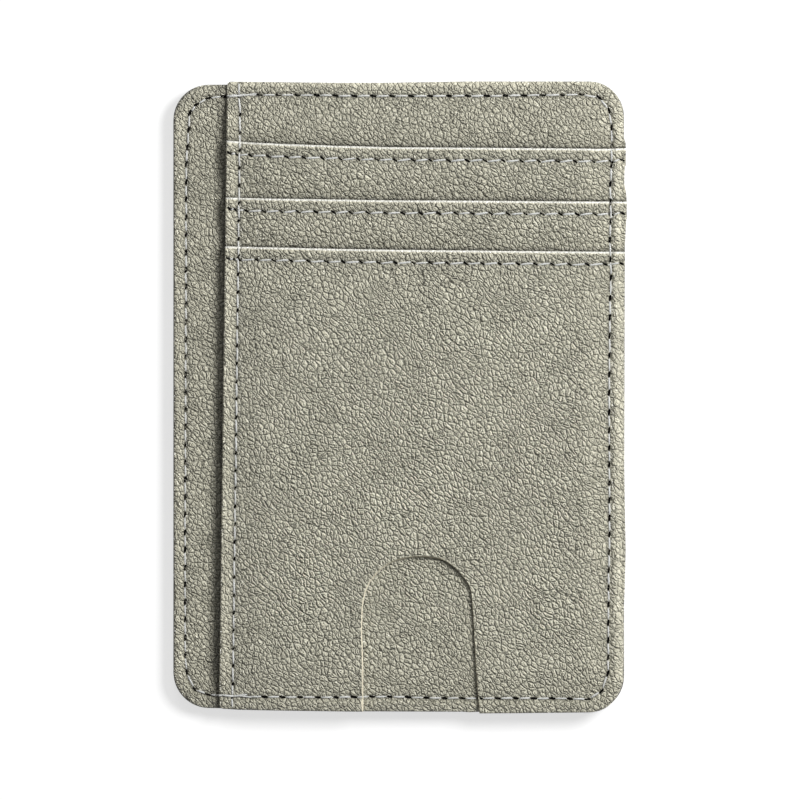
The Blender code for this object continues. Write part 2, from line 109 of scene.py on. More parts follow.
def shifted(tree, vector, offset, share):
    # vector plus share times (offset - 0.5)
    scaled = nodeOf(tree, "VectorMath", operation="SCALE")
    plug(tree, joined(tree, "VectorMath", offset, (0.5, 0.5, 0.5), operation="SUBTRACT"), scaled, 0)
    plug(tree, share, scaled, "Scale")
    return joined(tree, "VectorMath", vector, scaled.outputs[0], operation="ADD")


def stretchedAlong(tree, vector, angle, share):
    # the texture is drawn out along a direction given in degrees
    made = nodeOf(tree, "Mapping", vector_type="TEXTURE")
    plug(tree, vector, made, "Vector")
    plug(tree, (0, 0, math.radians(angle)), made, "Rotation")
    plug(tree, (share, 1.0, 1.0), made, "Scale")
    return made.outputs[0]


def painted(tree, name):
    # a value or place that the mesh carries at each point
    return nodeOf(tree, "Attribute", attribute_name=name).outputs["Vector" if name == "grain" else "Fac"]


def ownPlace(tree):
    return nodeOf(tree, "TexCoord").outputs["Object"]


def newMaterial(name):
    material = bpy.data.materials.new(name)
    material.use_nodes = True
    return material, material.node_tree, material.node_tree.nodes["Principled BSDF"]


shaderSockets = {"colour": "Base Color", "roughness": "Roughness", "specular": "Specular IOR Level",
                 "sheen": "Sheen Weight", "metal": "Metallic", "clear": "Transmission Weight", "ior": "IOR"}


def coat(tree, shader, height=None, relief=0.0, **looks):
    for look, source in looks.items():
        plug(tree, (*source, 1) if isinstance(source, tuple) else source, shader, shaderSockets[look])
    if height is not None:
        bump = nodeOf(tree, "Bump")
        for socket, source in (("Strength", 1.0), ("Distance", relief), ("Height", height)):
            plug(tree, source, bump, socket)
        plug(tree, bump.outputs[0], shader, "Normal")


# Camera, floor and lamps

studio = {
    "cameraPlace": (0.226, -0.633, 3004.0), "lens": 746.0, "sensor": 36.0,
    "lamps": {  # azimuth, height, distance, size, and the share of light on a level face
        "keyLamp": (30.0, 46.0, 600.0, 300.0, 0.83), "topLamp": (100.0, 50.0, 700.0, 300.0, 0.09)},
    "world": 0.17, "white": (1, 1, 1, 1),
    "floorSize": 6000.0, "floorDrop": 0.02, "floorColour": (0.50, 0.50, 0.50), "floorLift": 0.64,
    "whiteFrom": 75.0, "whiteTo": 130.0,
}


def addObject(name, data, place=(0, 0, 0)):
    holder = bpy.data.objects.new(name, data)
    bpy.context.scene.collection.objects.link(holder)
    holder.location = [part * 0.001 for part in place]
    return holder


def addLamp(name, azimuth, height, distance, size, share):
    turn, lift = math.radians(azimuth), math.radians(height)
    lamp = bpy.data.lights.new(name, "AREA")
    lamp.shape, lamp.size = "DISK", size * 0.001
    lamp.energy = share * math.pi ** 2 * (distance * 0.001) ** 2 / math.sin(lift)
    holder = addObject(name, lamp, (distance * math.cos(turn) * math.cos(lift),
                                    distance * math.sin(turn) * math.cos(lift), distance * math.sin(lift)))
    holder.rotation_euler = (math.pi / 2 - lift, 0, turn + math.pi / 2)


def floorMaterial():
    material, tree, shader = newMaterial("paleFloor")
    coat(tree, shader, colour=studio["floorColour"], roughness=1.0, specular=0.0)
    seen = nodeOf(tree, "LightPath").outputs["Is Camera Ray"]
    lift = joined(tree, "Emission", studio["white"], sums(tree, "MULTIPLY", seen, studio["floorLift"]))
    lifted = joined(tree, "AddShader", shader.outputs[0], lift)
    # away from the part the floor turns plain white to the camera
    reach = nodeOf(tree, "VectorMath", operation="LENGTH")
    plug(tree, ownPlace(tree), reach, 0)
    far = ramp(tree, reach.outputs["Value"], studio["whiteFrom"] * 0.001, studio["whiteTo"] * 0.001)
    blend = joined(tree, "MixShader", sums(tree, "MULTIPLY", far, seen), lifted,
                   joined(tree, "Emission", studio["white"], 1.0))
    plug(tree, blend, tree.nodes["Material Output"], "Surface")
    return material


def setUpStudio():
    scene = bpy.context.scene
    scene.view_settings.view_transform = "Standard"
    camera = bpy.data.cameras.new("camera")
    camera.lens, camera.sensor_width = studio["lens"], studio["sensor"]
    camera.clip_start, camera.clip_end = 0.01, 20.0
    scene.camera = addObject("camera", camera, studio["cameraPlace"])
    for name, lamp in studio["lamps"].items():
        addLamp(name, *lamp)

    world = bpy.data.worlds.new("studioWorld")
    scene.world = world
    world.use_nodes = True
    tree = world.node_tree
    fill = tree.nodes["Background"]
    plug(tree, studio["white"], fill, "Color")
    plug(tree, studio["world"], fill, "Strength")
    path = nodeOf(tree, "LightPath")
    seen = sums(tree, "MAXIMUM", path.outputs["Is Camera Ray"], path.outputs["Is Transmission Ray"])
    shown = joined(tree, "MixShader", seen, fill.outputs[0], joined(tree, "Background", studio["white"], 1.0))
    plug(tree, shown, tree.nodes["World Output"], "Surface")

    half, low = studio["floorSize"] * 0.0005, -studio["floorDrop"] * 0.001
    mesh = bpy.data.meshes.new("floor")
    mesh.from_pydata([(-half, -half, low), (half, -half, low), (half, half, low), (-half, half, low)],
                     [], [(0, 1, 2, 3)])
    mesh.materials.append(floorMaterial())
    addObject("floor", mesh)


setUpStudio()
print("studio set up")


# Materials

leather = {
    # the dark colour after the leather's own is painted shade for the creases, and the pale one after that a painted
    # highlight for the ridges beside them
    "colour": (0.663, 0.637, 0.500), "deepShade": (0.12, 0.113, 0.083), "crest": (0.95, 0.93, 0.755),
    "wornAndLit": (0.86, 0.82, 0.64), "bareAndHighlight": (0.88, 0.87, 0.80),      # a lighter tone, partly rubbed and partly painted light; near white where a hem folds, rubbed through and a painted highlight
    "patch": (0.43, 0.415, 0.335), "patchShare": 0.16, "shaded": (0.02, 0.019, 0.016),
    "roughness": 0.20, "roughGrain": 0.16, "specular": 1.0, "relief": 0.00068,
    "pebble": 1.25, "smallPebble": 2.6, "smallShare": 0.36,      # cells in a millimetre
    "lean": -55.0, "stretch": 1.35,                              # pebbles lean from upper left to lower right
    "drift": (0.10, 2.6), "wobble": (0.75, 0.7), "shiver": (2.3, 0.1),   # what bends the cells: scale, share
    "wrinkle": 0.7, "flow": -35.0, "flowStretch": 4.0, "wrinkleWide": 0.12, "wrinkleDeep": 0.6,
    "wrinkleDark": 0.3, "wrinkledFrom": 0.46, "wrinkledTo": 0.60,
    "creaseWide": 0.25, "smallWide": 0.36, "dome": 0.6, "fine": 0.12, "pebbleHigh": 0.6,
    "darkWide": 0.10, "dark": 0.5, "smallDarkWide": 0.12, "smallDark": 0.92,
    "crestFrom": 0.06, "ridgeFrom": 0.13, "ridgeTo": 0.30, "crestShare": 0.8,
    "patches": (0.30, 2.0, 0.6), "fineGrain": (4.5, 3.0, 0.6), "tone": (0.05, 3.0, 0.6),   # scale, detail, roughness
}


def leatherMaterial():
    material, tree, shader = newMaterial("pebbledLeather")
    place = painted(tree, "grain")
    warped = place
    for bend in ("drift", "wobble", "shiver"):
        scale, share = leather[bend]
        warped = shifted(tree, warped, noiseOf(tree, place, scale, 1.0, output="Color"), share)
    leaned = stretchedAlong(tree, warped, leather["lean"], leather["stretch"])
    flowing = stretchedAlong(tree, warped, leather["flow"], leather["flowStretch"])

    pebbleEdge = cellsOf(tree, leaned, leather["pebble"])
    fromMiddle = cellsOf(tree, leaned, leather["pebble"], "F1")
    smallEdge = cellsOf(tree, leaned, leather["smallPebble"])
    patches = noiseOf(tree, place, *leather["patches"])
    fine = noiseOf(tree, place, *leather["fineGrain"])

    pebble = ramp(tree, pebbleEdge, 0.0, leather["creaseWide"])
    small = ramp(tree, smallEdge, 0.0, leather["smallWide"])
    dome = sums(tree, "MULTIPLY", fromMiddle, fromMiddle)
    wrinkle = ramp(tree, cellsOf(tree, flowing, leather["wrinkle"]), 0.0, leather["wrinkleWide"], 1.0, 0.0)
    wrinkle = sums(tree, "MULTIPLY", wrinkle, ramp(tree, patches, leather["wrinkledFrom"], leather["wrinkledTo"]))
    smallShare = ramp(tree, patches, 0.40, 0.62, leather["smallShare"] * 0.8, leather["smallShare"] * 1.1)
    height = sums(tree, "MULTIPLY_ADD", small, smallShare, sums(tree, "MULTIPLY", pebble, leather["pebbleHigh"]))
    for part, share in ((dome, -leather["dome"]), (wrinkle, -leather["wrinkleDeep"]), (fine, leather["fine"])):
        height = sums(tree, "MULTIPLY_ADD", part, share, height)
    wornAndLit = painted(tree, "wearAndHighlight")
    height = sums(tree, "MULTIPLY", height, ramp(tree, wornAndLit, 0.2, 0.6, 1.0, 0.2, "LINEAR"))  # a fold pulls pebbles flat

    # painted shade: the colour darkens in the pebbles' creases and along the wrinkles
    top = sums(tree, "MULTIPLY", ramp(tree, pebbleEdge, 0.0, leather["darkWide"], leather["dark"], 1.0),
               ramp(tree, smallEdge, 0.0, leather["smallDarkWide"], leather["smallDark"], 1.0))
    top = sums(tree, "MULTIPLY", top, sums(tree, "MULTIPLY_ADD", wrinkle, -leather["wrinkleDark"], 1.0))
    # painted highlight: a lighter band on the ridges beside the creases
    crest = sums(tree, "MULTIPLY", ramp(tree, pebbleEdge, leather["crestFrom"], leather["ridgeFrom"]),
                 ramp(tree, pebbleEdge, leather["ridgeFrom"], leather["ridgeTo"], leather["crestShare"], 0.0))
    tone = noiseOf(tree, place, *leather["tone"])
    colour = mixColours(tree, crest, leather["colour"], leather["crest"])
    colour = mixColours(tree, top, leather["deepShade"], colour)
    colour = mixColours(tree, ramp(tree, tone, 0.3, 0.7, 0.0, leather["patchShare"]), colour, leather["patch"])
    # rubbed places and painted highlights lighten the colour
    rubbedAndLit = mixColours(tree, ramp(tree, wornAndLit, 0.5, 0.85), leather["wornAndLit"], leather["bareAndHighlight"])
    colour = mixColours(tree, wornAndLit, colour, rubbedAndLit)
    colour = mixColours(tree, painted(tree, "shade"), colour, leather["shaded"])
    coat(tree, shader, height, leather["relief"], colour=colour, specular=leather["specular"],
         roughness=sums(tree, "MULTIPLY_ADD", fine, leather["roughGrain"], leather["roughness"]))
    return material


# Finishes of the other pieces; a noise is given by its scale, detail and roughness
cutEdge = {"dark": (0.56, 0.51, 0.39), "colour": (0.86, 0.80, 0.63), "patch": (0.45, 0.43, 0.35), "patched": 0.25,
           "fibres": (2600.0, 4.0, 0.7), "full": 0.65, "patches": (500.0,), "relief": 0.00003,
           "roughness": 0.85, "specular": 0.2}
board = {"dark": (0.30, 0.25, 0.18), "colour": (0.46, 0.40, 0.30), "patch": (0.38, 0.34, 0.27), "patched": 0.4,
         "fibres": (1800.0, 5.0, 0.7), "full": 0.7, "patches": (140.0, 3.0), "relief": 0.00004,
         "roughness": 0.9, "specular": 0.5}
threadLook = {"deepShade": (0.56, 0.56, 0.54), "colour": (0.93, 0.94, 0.91), "fuzz": (0.6, 0.6, 0.57),
              "plies": 1.7, "relief": 0.00005}
holeLook = {"deepShade": (0.003, 0.003, 0.003), "edge": (0.012, 0.011, 0.010)}
cloth = {"dark": (0.055, 0.052, 0.045), "colour": (0.16, 0.155, 0.135), "slub": (0.20, 0.195, 0.17),
         "yarns": 2.2, "relief": 0.00004}
foil = {"dark": (0.62, 0.62, 0.63), "colour": (0.80, 0.80, 0.81), "relief": 0.00008}
film = {"colour": (0.93, 0.95, 0.95), "ior": 1.35, "relief": 0.0004}


def fibrousMaterial(name, look):
    material, tree, shader = newMaterial(name)
    place = ownPlace(tree)
    fibres = noiseOf(tree, place, *look["fibres"])
    colour = mixColours(tree, ramp(tree, fibres, 0.3, look["full"]), look["dark"], look["colour"])
    patches = ramp(tree, noiseOf(tree, place, *look["patches"]), 0.4, 0.7, 0.0, look["patched"])
    coat(tree, shader, fibres, look["relief"], colour=mixColours(tree, patches, colour, look["patch"]),
         roughness=look["roughness"], specular=look["specular"])
    return material


def threadMaterial():
    material, tree, shader = newMaterial("sewingThread")
    place = painted(tree, "grain")
    ply = ramp(tree, bandsOf(tree, place, "DIAGONAL", threadLook["plies"], 0.6), 0.1, 0.7)
    fuzz = noiseOf(tree, place, 14.0, 3.0, 0.7)
    # painted shade: darker between the plies of the twist
    colour = mixColours(tree, ply, threadLook["deepShade"], threadLook["colour"])
    colour = mixColours(tree, ramp(tree, fuzz, 0.35, 0.7, 0.0, 0.3), colour, threadLook["fuzz"])
    coat(tree, shader, sums(tree, "MULTIPLY_ADD", fuzz, 0.3, ply), threadLook["relief"], colour=colour,
         roughness=0.45, sheen=0.3)
    return material


def holeMaterial():
    material, tree, shader = newMaterial("needleHoleShadow")
    fibres = ramp(tree, noiseOf(tree, ownPlace(tree), 3000.0, 3.0, 0.6), 0.3, 0.8)
    coat(tree, shader, colour=mixColours(tree, fibres, holeLook["deepShade"], holeLook["edge"]), roughness=1.0, specular=0.0)
    return material


def clothMaterial():
    material, tree, shader = newMaterial("wovenLining")
    place = nodeOf(tree, "Mapping")
    plug(tree, ownPlace(tree), place, "Vector")
    plug(tree, (1000, 1000, 1000), place, "Scale")
    place = place.outputs[0]
    weave = sums(tree, "MAXIMUM", *[bandsOf(tree, place, way, cloth["yarns"], 0.4) for way in ("X", "Y")])
    slubs = ramp(tree, noiseOf(tree, place, 1.3, 3.0), 0.4, 0.7, 0.0, 0.35)
    colour = mixColours(tree, weave, cloth["dark"], cloth["colour"])
    coat(tree, shader, weave, cloth["relief"], colour=mixColours(tree, slubs, colour, cloth["slub"]),
         roughness=0.85, sheen=0.15)
    return material


def foilMaterial():
    material, tree, shader = newMaterial("shieldFoil")
    place = ownPlace(tree)
    smears = noiseOf(tree, place, 350.0, 4.0, 0.6)
    coat(tree, shader, ramp(tree, cellsOf(tree, place, 160.0), 0.0, 0.2), foil["relief"], metal=1.0,
         colour=mixColours(tree, ramp(tree, smears, 0.3, 0.7), foil["dark"], foil["colour"]),
         roughness=ramp(tree, smears, 0.3, 0.7, 0.24, 0.42))
    return material


def filmMaterial():
    material, tree, shader = newMaterial("clearFilm")
    place = ownPlace(tree)
    scuffs = ramp(tree, noiseOf(tree, place, 900.0, 5.0, 0.75), 0.5, 0.75, 0.06, 0.16)
    coat(tree, shader, noiseOf(tree, place, 60.0), film["relief"], colour=film["colour"], clear=1.0,
         ior=film["ior"], roughness=scuffs)
    return material


finishes = {
    "leather": leatherMaterial(), "cutEdge": fibrousMaterial("cutLeatherEdge", cutEdge),
    "thread": threadMaterial(), "hole": holeMaterial(), "cloth": clothMaterial(), "foil": foilMaterial(),
    "board": fibrousMaterial("fibreBoard", board), "film": filmMaterial(),
}
print("materials made:", len(finishes))


# Outline of the holder, in millimetres

outline = {
    "halfWidth": 40.8, "halfHeight": 57.0, "corner": 6.4,
    "stripDrop": 0.6, "stripRise": 0.72,         # the base is cut shorter at its open side
    "openTop": -31.1, "openBottom": -32.55,      # x of the front stack's open edge
}
stackTopLine = ((-32, -28, -12, -3, 12, 36), (57.0, 56.95, 56.78, 56.78, 57.02, 57.02))
stackFootLine = ((-33, -30, -28, -20, -8, 12, 15, 22, 36),
                 (-56.38, -56.58, -56.7, -56.85, -57.02, -57.1, -57.35, -57.3, -57.15))
mouthLines = (
    ((-33, -30.9, -27.6, -21.1, -11.4, -1.6, 14.7, 31, 37.5, 41),
     (46.4, 46.27, 45.98, 45.68, 45.36, 45.11, 45.0, 44.87, 44.82, 44.95)),
    ((-33, -30.9, -24.4, -11.4, -1.6, 14.7, 31, 41), (36.05, 36.01, 35.82, 35.64, 35.49, 35.43, 35.29, 35.27)),
    ((-33, -30.9, -21.1, -11.4, -1.6, 14.7, 31, 41), (27.2, 27.16, 26.93, 26.71, 26.56, 26.4, 26.24, 26.2)),
)
backMouths = (44.9, 35.3, 26.2)


def baseTop(x):
    return outline["halfHeight"] - outline["stripDrop"] * (outline["halfWidth"] - x) / (2 * outline["halfWidth"])


def baseFoot(x):
    return -outline["halfHeight"] + outline["stripRise"] * np.maximum(0.0, -x / outline["halfWidth"])


def stackTop(x):
    return np.interp(x, *stackTopLine)


def stackFoot(x):
    return np.interp(x, *stackFootLine)


def openEdge(y):
    share = (outline["halfHeight"] - y) / (2 * outline["halfHeight"])
    return outline["openTop"] + (outline["openBottom"] - outline["openTop"]) * share


def mouthLine(side, number, x):
    return np.interp(x, *mouthLines[number]) if side > 0 else backMouths[number] + 0 * x


def rounded(radius, away):
    # how much a rounded corner takes off, at a distance from its side
    return radius - np.sqrt(radius ** 2 - np.clip(radius - away, 0.0, radius) ** 2)


def cornerDrop(x, inset=0.0):
    return rounded(outline["corner"] - inset, outline["halfWidth"] - inset - np.abs(x))


def rimDistance(x, y, top, foot, leftToo):
    # how far a point lies inside the outline
    radius = outline["corner"]
    side = outline["halfWidth"] - (np.abs(x) if leftToo else x)
    ends = np.minimum(top(x) - y, y - foot(x))
    inCorner = radius - np.hypot(radius - side, radius - ends)
    return np.where((side < radius) & (ends < radius), inCorner, np.minimum(side, ends))


def smooth(value, low, high):
    share = np.clip((value - low) / (high - low), 0.0, 1.0)
    return share * share * (3 - 2 * share)


def fading(away, reach):
    return np.exp(-(away / reach) ** 2)


def hump(share):
    # 0 at a share of 0 and of 1, and 1 half way
    return np.sin(math.pi * np.clip(share, 0, 1))


# Sheets: levels of their middles in the solids, and where sewing presses them

sheets = {
    "leather": 0.55,     # thickness
    "frontRaised": 5.555, "frontLow": 4.605, "base": 2.895, "backLow": 1.225, "backRaised": 0.275,
}
frontLevels = (2.895, 3.17, 3.63, 3.81, 3.99, 4.19, 4.605, 4.94, 5.555)
pressed = {
    "frontOuter": (frontLevels, (2.895, 3.17, 3.25, 3.37, 3.49, 3.63, 4.02, 4.06, 4.64)),
    "frontOpen": (frontLevels, (2.895, 3.17, 3.50, 3.60, 3.70, 3.83, 4.20, 4.23, 4.79)),
    "backOuter": ((0.275, 1.225, 1.64, 1.84, 2.02, 2.34, 2.895), (0.86, 1.46, 1.82, 1.96, 2.08, 2.34, 2.895)),
    "from": 2.6, "to": 7.5,
}


def press(side, middle, x, y):
    places = [("frontOpen", x - openEdge(y)), ("frontOuter", rimDistance(x, y, stackTop, stackFoot, False))]
    if side < 0:
        places = [("backOuter", rimDistance(x, y, baseTop, baseFoot, True))]
    for place, away in places:
        share = 1 - smooth(away, pressed["from"], pressed["to"])
        middle = middle + share * (np.interp(middle, *pressed[place]) - middle)
    return middle


# Sewing: each row is a list of needle holes (x, y), in order

sewing = {
    "seamInset": 2.4, "pitch": 3.2, "threadRadius": 0.175, "threadFlat": 0.85, "jitter": 0.10,
    "slitWide": 0.213, "longSlit": 1.35, "longSlitAt": (-34.6, -53.95),   # where the thread skips, low at the left
    "dip": 0.20, "dipWide": 0.48, "holeDip": 0.12, "holeWide": 0.42, "backDrop": 2.15,
}
randomSewing = random.Random(41)


def evenHoles(start, end, count):
    holes = []
    for number in range(count):
        share = number / (count - 1)
        if 0 < number < count - 1:
            share += randomSewing.uniform(-1, 1) * sewing["jitter"] / math.dist(start, end)
        holes.append(tuple(a + (b - a) * share for a, b in zip(start, end)))
    return holes


def holesAlong(path):
    # around a closed path
    path = path + [path[0]]
    lengths = [0.0]
    for a, b in zip(path, path[1:]):
        lengths.append(lengths[-1] + math.dist(a, b))
    count = round(lengths[-1] / sewing["pitch"])
    holes = []
    for number in range(count):
        at = lengths[-1] * number / count
        if number > 0:
            at += randomSewing.uniform(-1, 1) * sewing["jitter"]
        holes.append(tuple(float(np.interp(at, lengths, [point[axis] for point in path])) for axis in (0, 1)))
    return holes


def levelRow(first, last, count, line):
    # holes from first to last x, on a line of (xs, ys)
    return [(x, float(np.interp(x, *line))) for x, _ in evenHoles((first, 0), (last, 0), count)]


def uprightRow(first, last, count, line):
    # holes from first to last y, on a line of (ys, xs)
    return [(float(np.interp(y, *line)), y) for _, y in evenHoles((0, first), (0, last), count)]


def hemRow(number, first, last, count, drop):
    return [(x, y - drop) for x, y in levelRow(first, last, count, mouthLines[number])]


topLine = ((-29, -16, -8, 8, 20, 33), (54.6, 54.55, 54.4, 54.37, 54.43, 54.65))
footLine = ((-28, -12, -3, 8, 28, 35), (-54.3, -54.45, -54.28, -54.6, -54.6, -54.8))
rightLine = ((-50, -35, -25, 0, 17, 22, 28.7, 32, 39, 42.5, 49),
             (37.85, 37.93, 38.1, 38.04, 38.2, 38.4, 38.17, 38.35, 38.28, 38.5, 38.5))
leftLine = ((-50, -46.9, -24, 0, 42, 48.5), (-38.4, -38.65, -38.7, -38.6, -38.5, -38.05))
openLine = ((-57, 57), (openEdge(-57) + 2.45, openEdge(57) + 2.45))
frontRows = {
    "outer": levelRow(-28.6, 33.0, 19, topLine) + [(36.25, 54.1), (38.05, 51.74)]
             + uprightRow(48.7, 21.5, 9, rightLine) + uprightRow(17.8, -2.84, 7, rightLine)
             + uprightRow(-6.1, -47.2, 14, rightLine) + [(37.82, -50.12), (36.7, -53.3)]
             + levelRow(34.2, -27.6, 20, footLine) + [(-31.0, -54.2), sewing["longSlitAt"], (-36.95, -53.0)]
             + uprightRow(-49.9, 48.3, 32, leftLine) + [(-37.8, 51.36), (-36.6, 52.85), (-34.5, 54.0), (-31.7, 54.35)],
    "openEdge": [(-28.9, 57.0), (-28.95, 54.35)] + uprightRow(51.0, -52.0, 33, openLine)
                + [(-30.15, -54.4), (-30.15, -56.6)],
    "hem1": [(-30.6, 44.0), (-29.3, 43.8)] + hemRow(0, -26.9, 35.2, 20, 2.33) + [(38.4, 42.55), (40.4, 42.8)],
    "hem2": [(-30.6, 33.95), (-29.6, 33.8)] + hemRow(1, -27.6, 35.5, 21, 2.32) + [(38.4, 33.0), (40.5, 33.15)],
    "hem3": [(-30.8, 24.9), (-29.8, 24.8)] + hemRow(2, -28.9, 34.1, 21, 2.35) + [(37.4, 23.9), (40.3, 24.05)],
}


def roundedPath(left, right, low, high, radius):
    # closed path of a rounded rectangle, clockwise from its upper left
    points = []
    for centreX, centreY, start in ((left + radius, high - radius, 180), (right - radius, high - radius, 90),
                                    (right - radius, low + radius, 0), (left + radius, low + radius, -90)):
        for step in range(9):
            angle = math.radians(start - 90 * step / 8)
            points.append((centreX + radius * math.cos(angle), centreY + radius * math.sin(angle)))
    return points


window = {"left": -24.0, "right": 24.0, "low": -48.0, "high": 14.0, "corner": 3.0, "seam": 2.0}


def windowPath(out=0.0):
    return roundedPath(window["left"] - out, window["right"] + out, window["low"] - out, window["high"] + out,
                       window["corner"] + out)


backReach = outline["halfWidth"] - sewing["seamInset"]
backRows = {"outer": holesAlong(roundedPath(-backReach, backReach, -54.4, 54.35, 4.0))}
for mouthNumber, mouthY in enumerate(backMouths):
    seamY = mouthY - sewing["backDrop"]
    backRows["hem%d" % (mouthNumber + 1)] = evenHoles((-38.0, seamY), (38.0, seamY), 25)
backRows["window"] = holesAlong(windowPath(window["seam"]))
sewnRows = {1: frontRows, -1: backRows}
closedRows = ("outer", "window")


def stitchPairs(side, row):
    holes = sewnRows[side][row]
    return list(zip(holes, holes[1:])) + ([(holes[-1], holes[0])] if row in closedRows else [])


def sewnDip(side, x, y):
    # how far thread pulls the leather in, seen from its face
    pull, dimple = np.zeros_like(x), np.zeros_like(x)
    for row in sewnRows[side]:
        for (ax, ay), (bx, by) in stitchPairs(side, row):
            near = (np.abs(x - (ax + bx) / 2) < 3.2) & (np.abs(y - (ay + by) / 2) < 3.2)
            if not near.any():
                continue
            px, py = x[near], y[near]
            length = max((bx - ax) ** 2 + (by - ay) ** 2, 1e-9)
            share = np.clip(((px - ax) * (bx - ax) + (py - ay) * (by - ay)) / length, 0, 1)
            away = np.hypot(px - ax - share * (bx - ax), py - ay - share * (by - ay))
            pull[near] = np.maximum(pull[near], fading(away, sewing["dipWide"]))
            dimple[near] = np.maximum(dimple[near], fading(np.hypot(px - ax, py - ay), sewing["holeWide"]))
    return sewing["dip"] * pull + sewing["holeDip"] * dimple


print("sewing rows laid out:", *(sum(len(row) for row in rows.values()) for rows in sewnRows.values()), "holes")


# Leather faces

waves = {"long": (14, 34, 0.035), "short": (4.5, 9, 0.012), "each": 7}     # spans from and to, height
randomWaves = random.Random(7)
waveSet = []
for waveKind in ("long", "short"):
    for waveNumber in range(waves["each"]):
        heading, span = randomWaves.uniform(0, 2 * math.pi), randomWaves.uniform(*waves[waveKind][:2])
        waveSet.append((2 * math.pi / span * math.cos(heading), 2 * math.pi / span * math.sin(heading),
                        randomWaves.uniform(0, 6.28), waves[waveKind][2]))


def undulation(x, y, seed):
    total = np.zeros_like(x)
    for kx, ky, phase, size in waveSet:
        total += size * np.sin(kx * x + ky * y + phase + seed * 1.7) / 2.2
    return total


# Each panel: its node, side, level, own slot, the slot that covers its lower part, the height above which it shows,
# and its foot, which is tucked a little way under the covering slot where none is given
tuck = 3.2
panelKeys = ("node", "side", "level", "mouth", "coming", "shown", "foot")
panels = {
    "baseLeather": ("base_panel", 1, "base", None, None, -99, baseFoot),
    "topBandLeather": ("top_panel", 1, "frontLow", None, 0, 44.2, None),
    "slot1Leather": ("slot_1_panel", 1, "frontLow", 0, 1, 34.6, None),
    "slot2Leather": ("slot_2_panel", 1, "frontLow", 1, 2, 25.4,
                     lambda x: stackFoot(x) + np.interp(x, (13, 15), (0.05, 0.3))),
    "slot3Leather": ("slot_3_panel", 1, "frontRaised", 2, None, -99, stackFoot),
    "backTopBandLeather": ("back_top_panel", -1, "backLow", None, 0, 44, None),
    "backSlot1Leather": ("back_slot_1_panel", -1, "backLow", 0, 1, 34.4, None),
    "backSlot2Leather": ("back_slot_2_panel", -1, "backLow", 1, 2, 25, baseFoot),
    "windowLeather": ("window_panel", -1, "backRaised", 2, None, -99, baseFoot),
}
for panelNumber, panelName in enumerate(panels):
    panelSettings = dict(zip(panelKeys, panels[panelName]), seed=panelNumber + 1)
    panelSettings["fullWidth"] = panelSettings["side"] < 0 or panelSettings["level"] == "base"
    panels[panelName] = panelSettings

arch = {"floorRise": 0.33, "risenFrom": (-20.0, 5.0), "fineBox": (-7.8, 15.6, -27.5), "draft": (0.52, 0.2),
        "shade": 0.6, "shadeWide": 0.36,
        "facing": (  # how strong the painted shade beside its wall is at each x
            (-6.6, -6.0, -5.0, -1.0, 0.3, 1.6, 4.0), (0.15, 0.5, 0.75, 0.8, 0.25, 0.4, 1.0))}
archLeft = ((-57, -53, -46.7, -42.5, -39, -37.8, -36.4, -35.2, -33.9),
            (-6.68, -6.68, -6.74, -6.90, -6.80, -6.74, -6.47, -6.16, -5.64))
archRight = ((-57, -53, -46.7, -41.5, -37.2, -35.3, -34.15), (14.65, 14.34, 13.93, 13.68, 13.36, 13.16, 12.8))
archCrown = ((-5.64, -4.91, -3.99, -3.05, -2.11, -1.28, -0.24, 1.84, 3.92, 5.65, 7.23, 8.48, 9.72, 10.97, 12.0, 12.8),
             (-33.9, -32.8, -31.75, -30.87, -30.2, -29.78, -29.40, -28.95, -28.84, -28.96, -29.22, -29.7, -30.52,
              -31.65, -32.92, -34.15))
hem = {"sink": 0.12, "sinkReach": 1.3, "turn": 4.0, "lead": 0.9, "nose": 0.425, "noseSteps": 8,
       "bulge": 0.13, "reach": 2.1, "lowerBulge": 0.6, "lowerReach": 1.9,   # above and below the row of thread
       "stepDeep": 0.05, "stepAt": (3.7, 4.3), "tone": 0.04, "dusk": 0.09, "duskFrom": (-0.1, 1.0),
       "duskTo": (2.2, 3.2), "seenFrom": (-0.9, -0.3)}
rim = {"openCorner": 0.8, "round": 0.36, "innerRound": 0.10, "bead": 0.32, "openBead": 0.16, "beadWide": 2.25,
       "lean": 1.8, "swell": 0.08, "swellAt": 3.6, "swellWide": 0.9, "calm": 6.0,
       "openFrom": (-9, 3), "openTo": (3, 9), "cornerSpan": 16.0}


def archGaps(x, y):
    # how far a point lies inside the arch's left side, right side and crown
    return x - np.interp(y, *archLeft), np.interp(y, *archRight) - x, np.interp(x, *archCrown) - y


def panelMiddle(panel, x, y):
    side, low = panel["side"], sheets[panel["level"]]
    if panel["mouth"] is None or panel["coming"] is None:
        return low + 0 * x
    raised = sheets["frontRaised" if side > 0 else "backRaised"]
    turnEnd = mouthLine(side, panel["mouth"], x) - hem["turn"]
    settled = mouthLine(side, panel["coming"], x) + hem["lead"]
    middle = raised + (low - raised) * smooth(-y, -turnEnd, -settled)
    if panel["node"] == "slot_2_panel":
        # it lies against the panel that the arch is cut in
        middle = middle + arch["floorRise"] * smooth(-y, *arch["risenFrom"])
    return middle


def panelTop(panel, x):
    if panel["mouth"] is not None:
        return mouthLine(panel["side"], panel["mouth"], x)
    return baseTop(x) if panel["fullWidth"] else stackTop(x)


def panelFoot(panel, x):
    return panel["foot"](x) if panel["foot"] else mouthLine(panel["side"], panel["coming"], x) - tuck


def panelRim(panel, x, y):
    # distance to this panel's own sewn edge
    if panel["fullWidth"]:
        return rimDistance(x, y, baseTop, baseFoot, True)
    foot = panel["foot"] if panel["node"] == "slot_2_panel" else stackFoot
    return np.minimum(rimDistance(x, y, stackTop, foot, False), np.maximum(x - openEdge(y), 0))


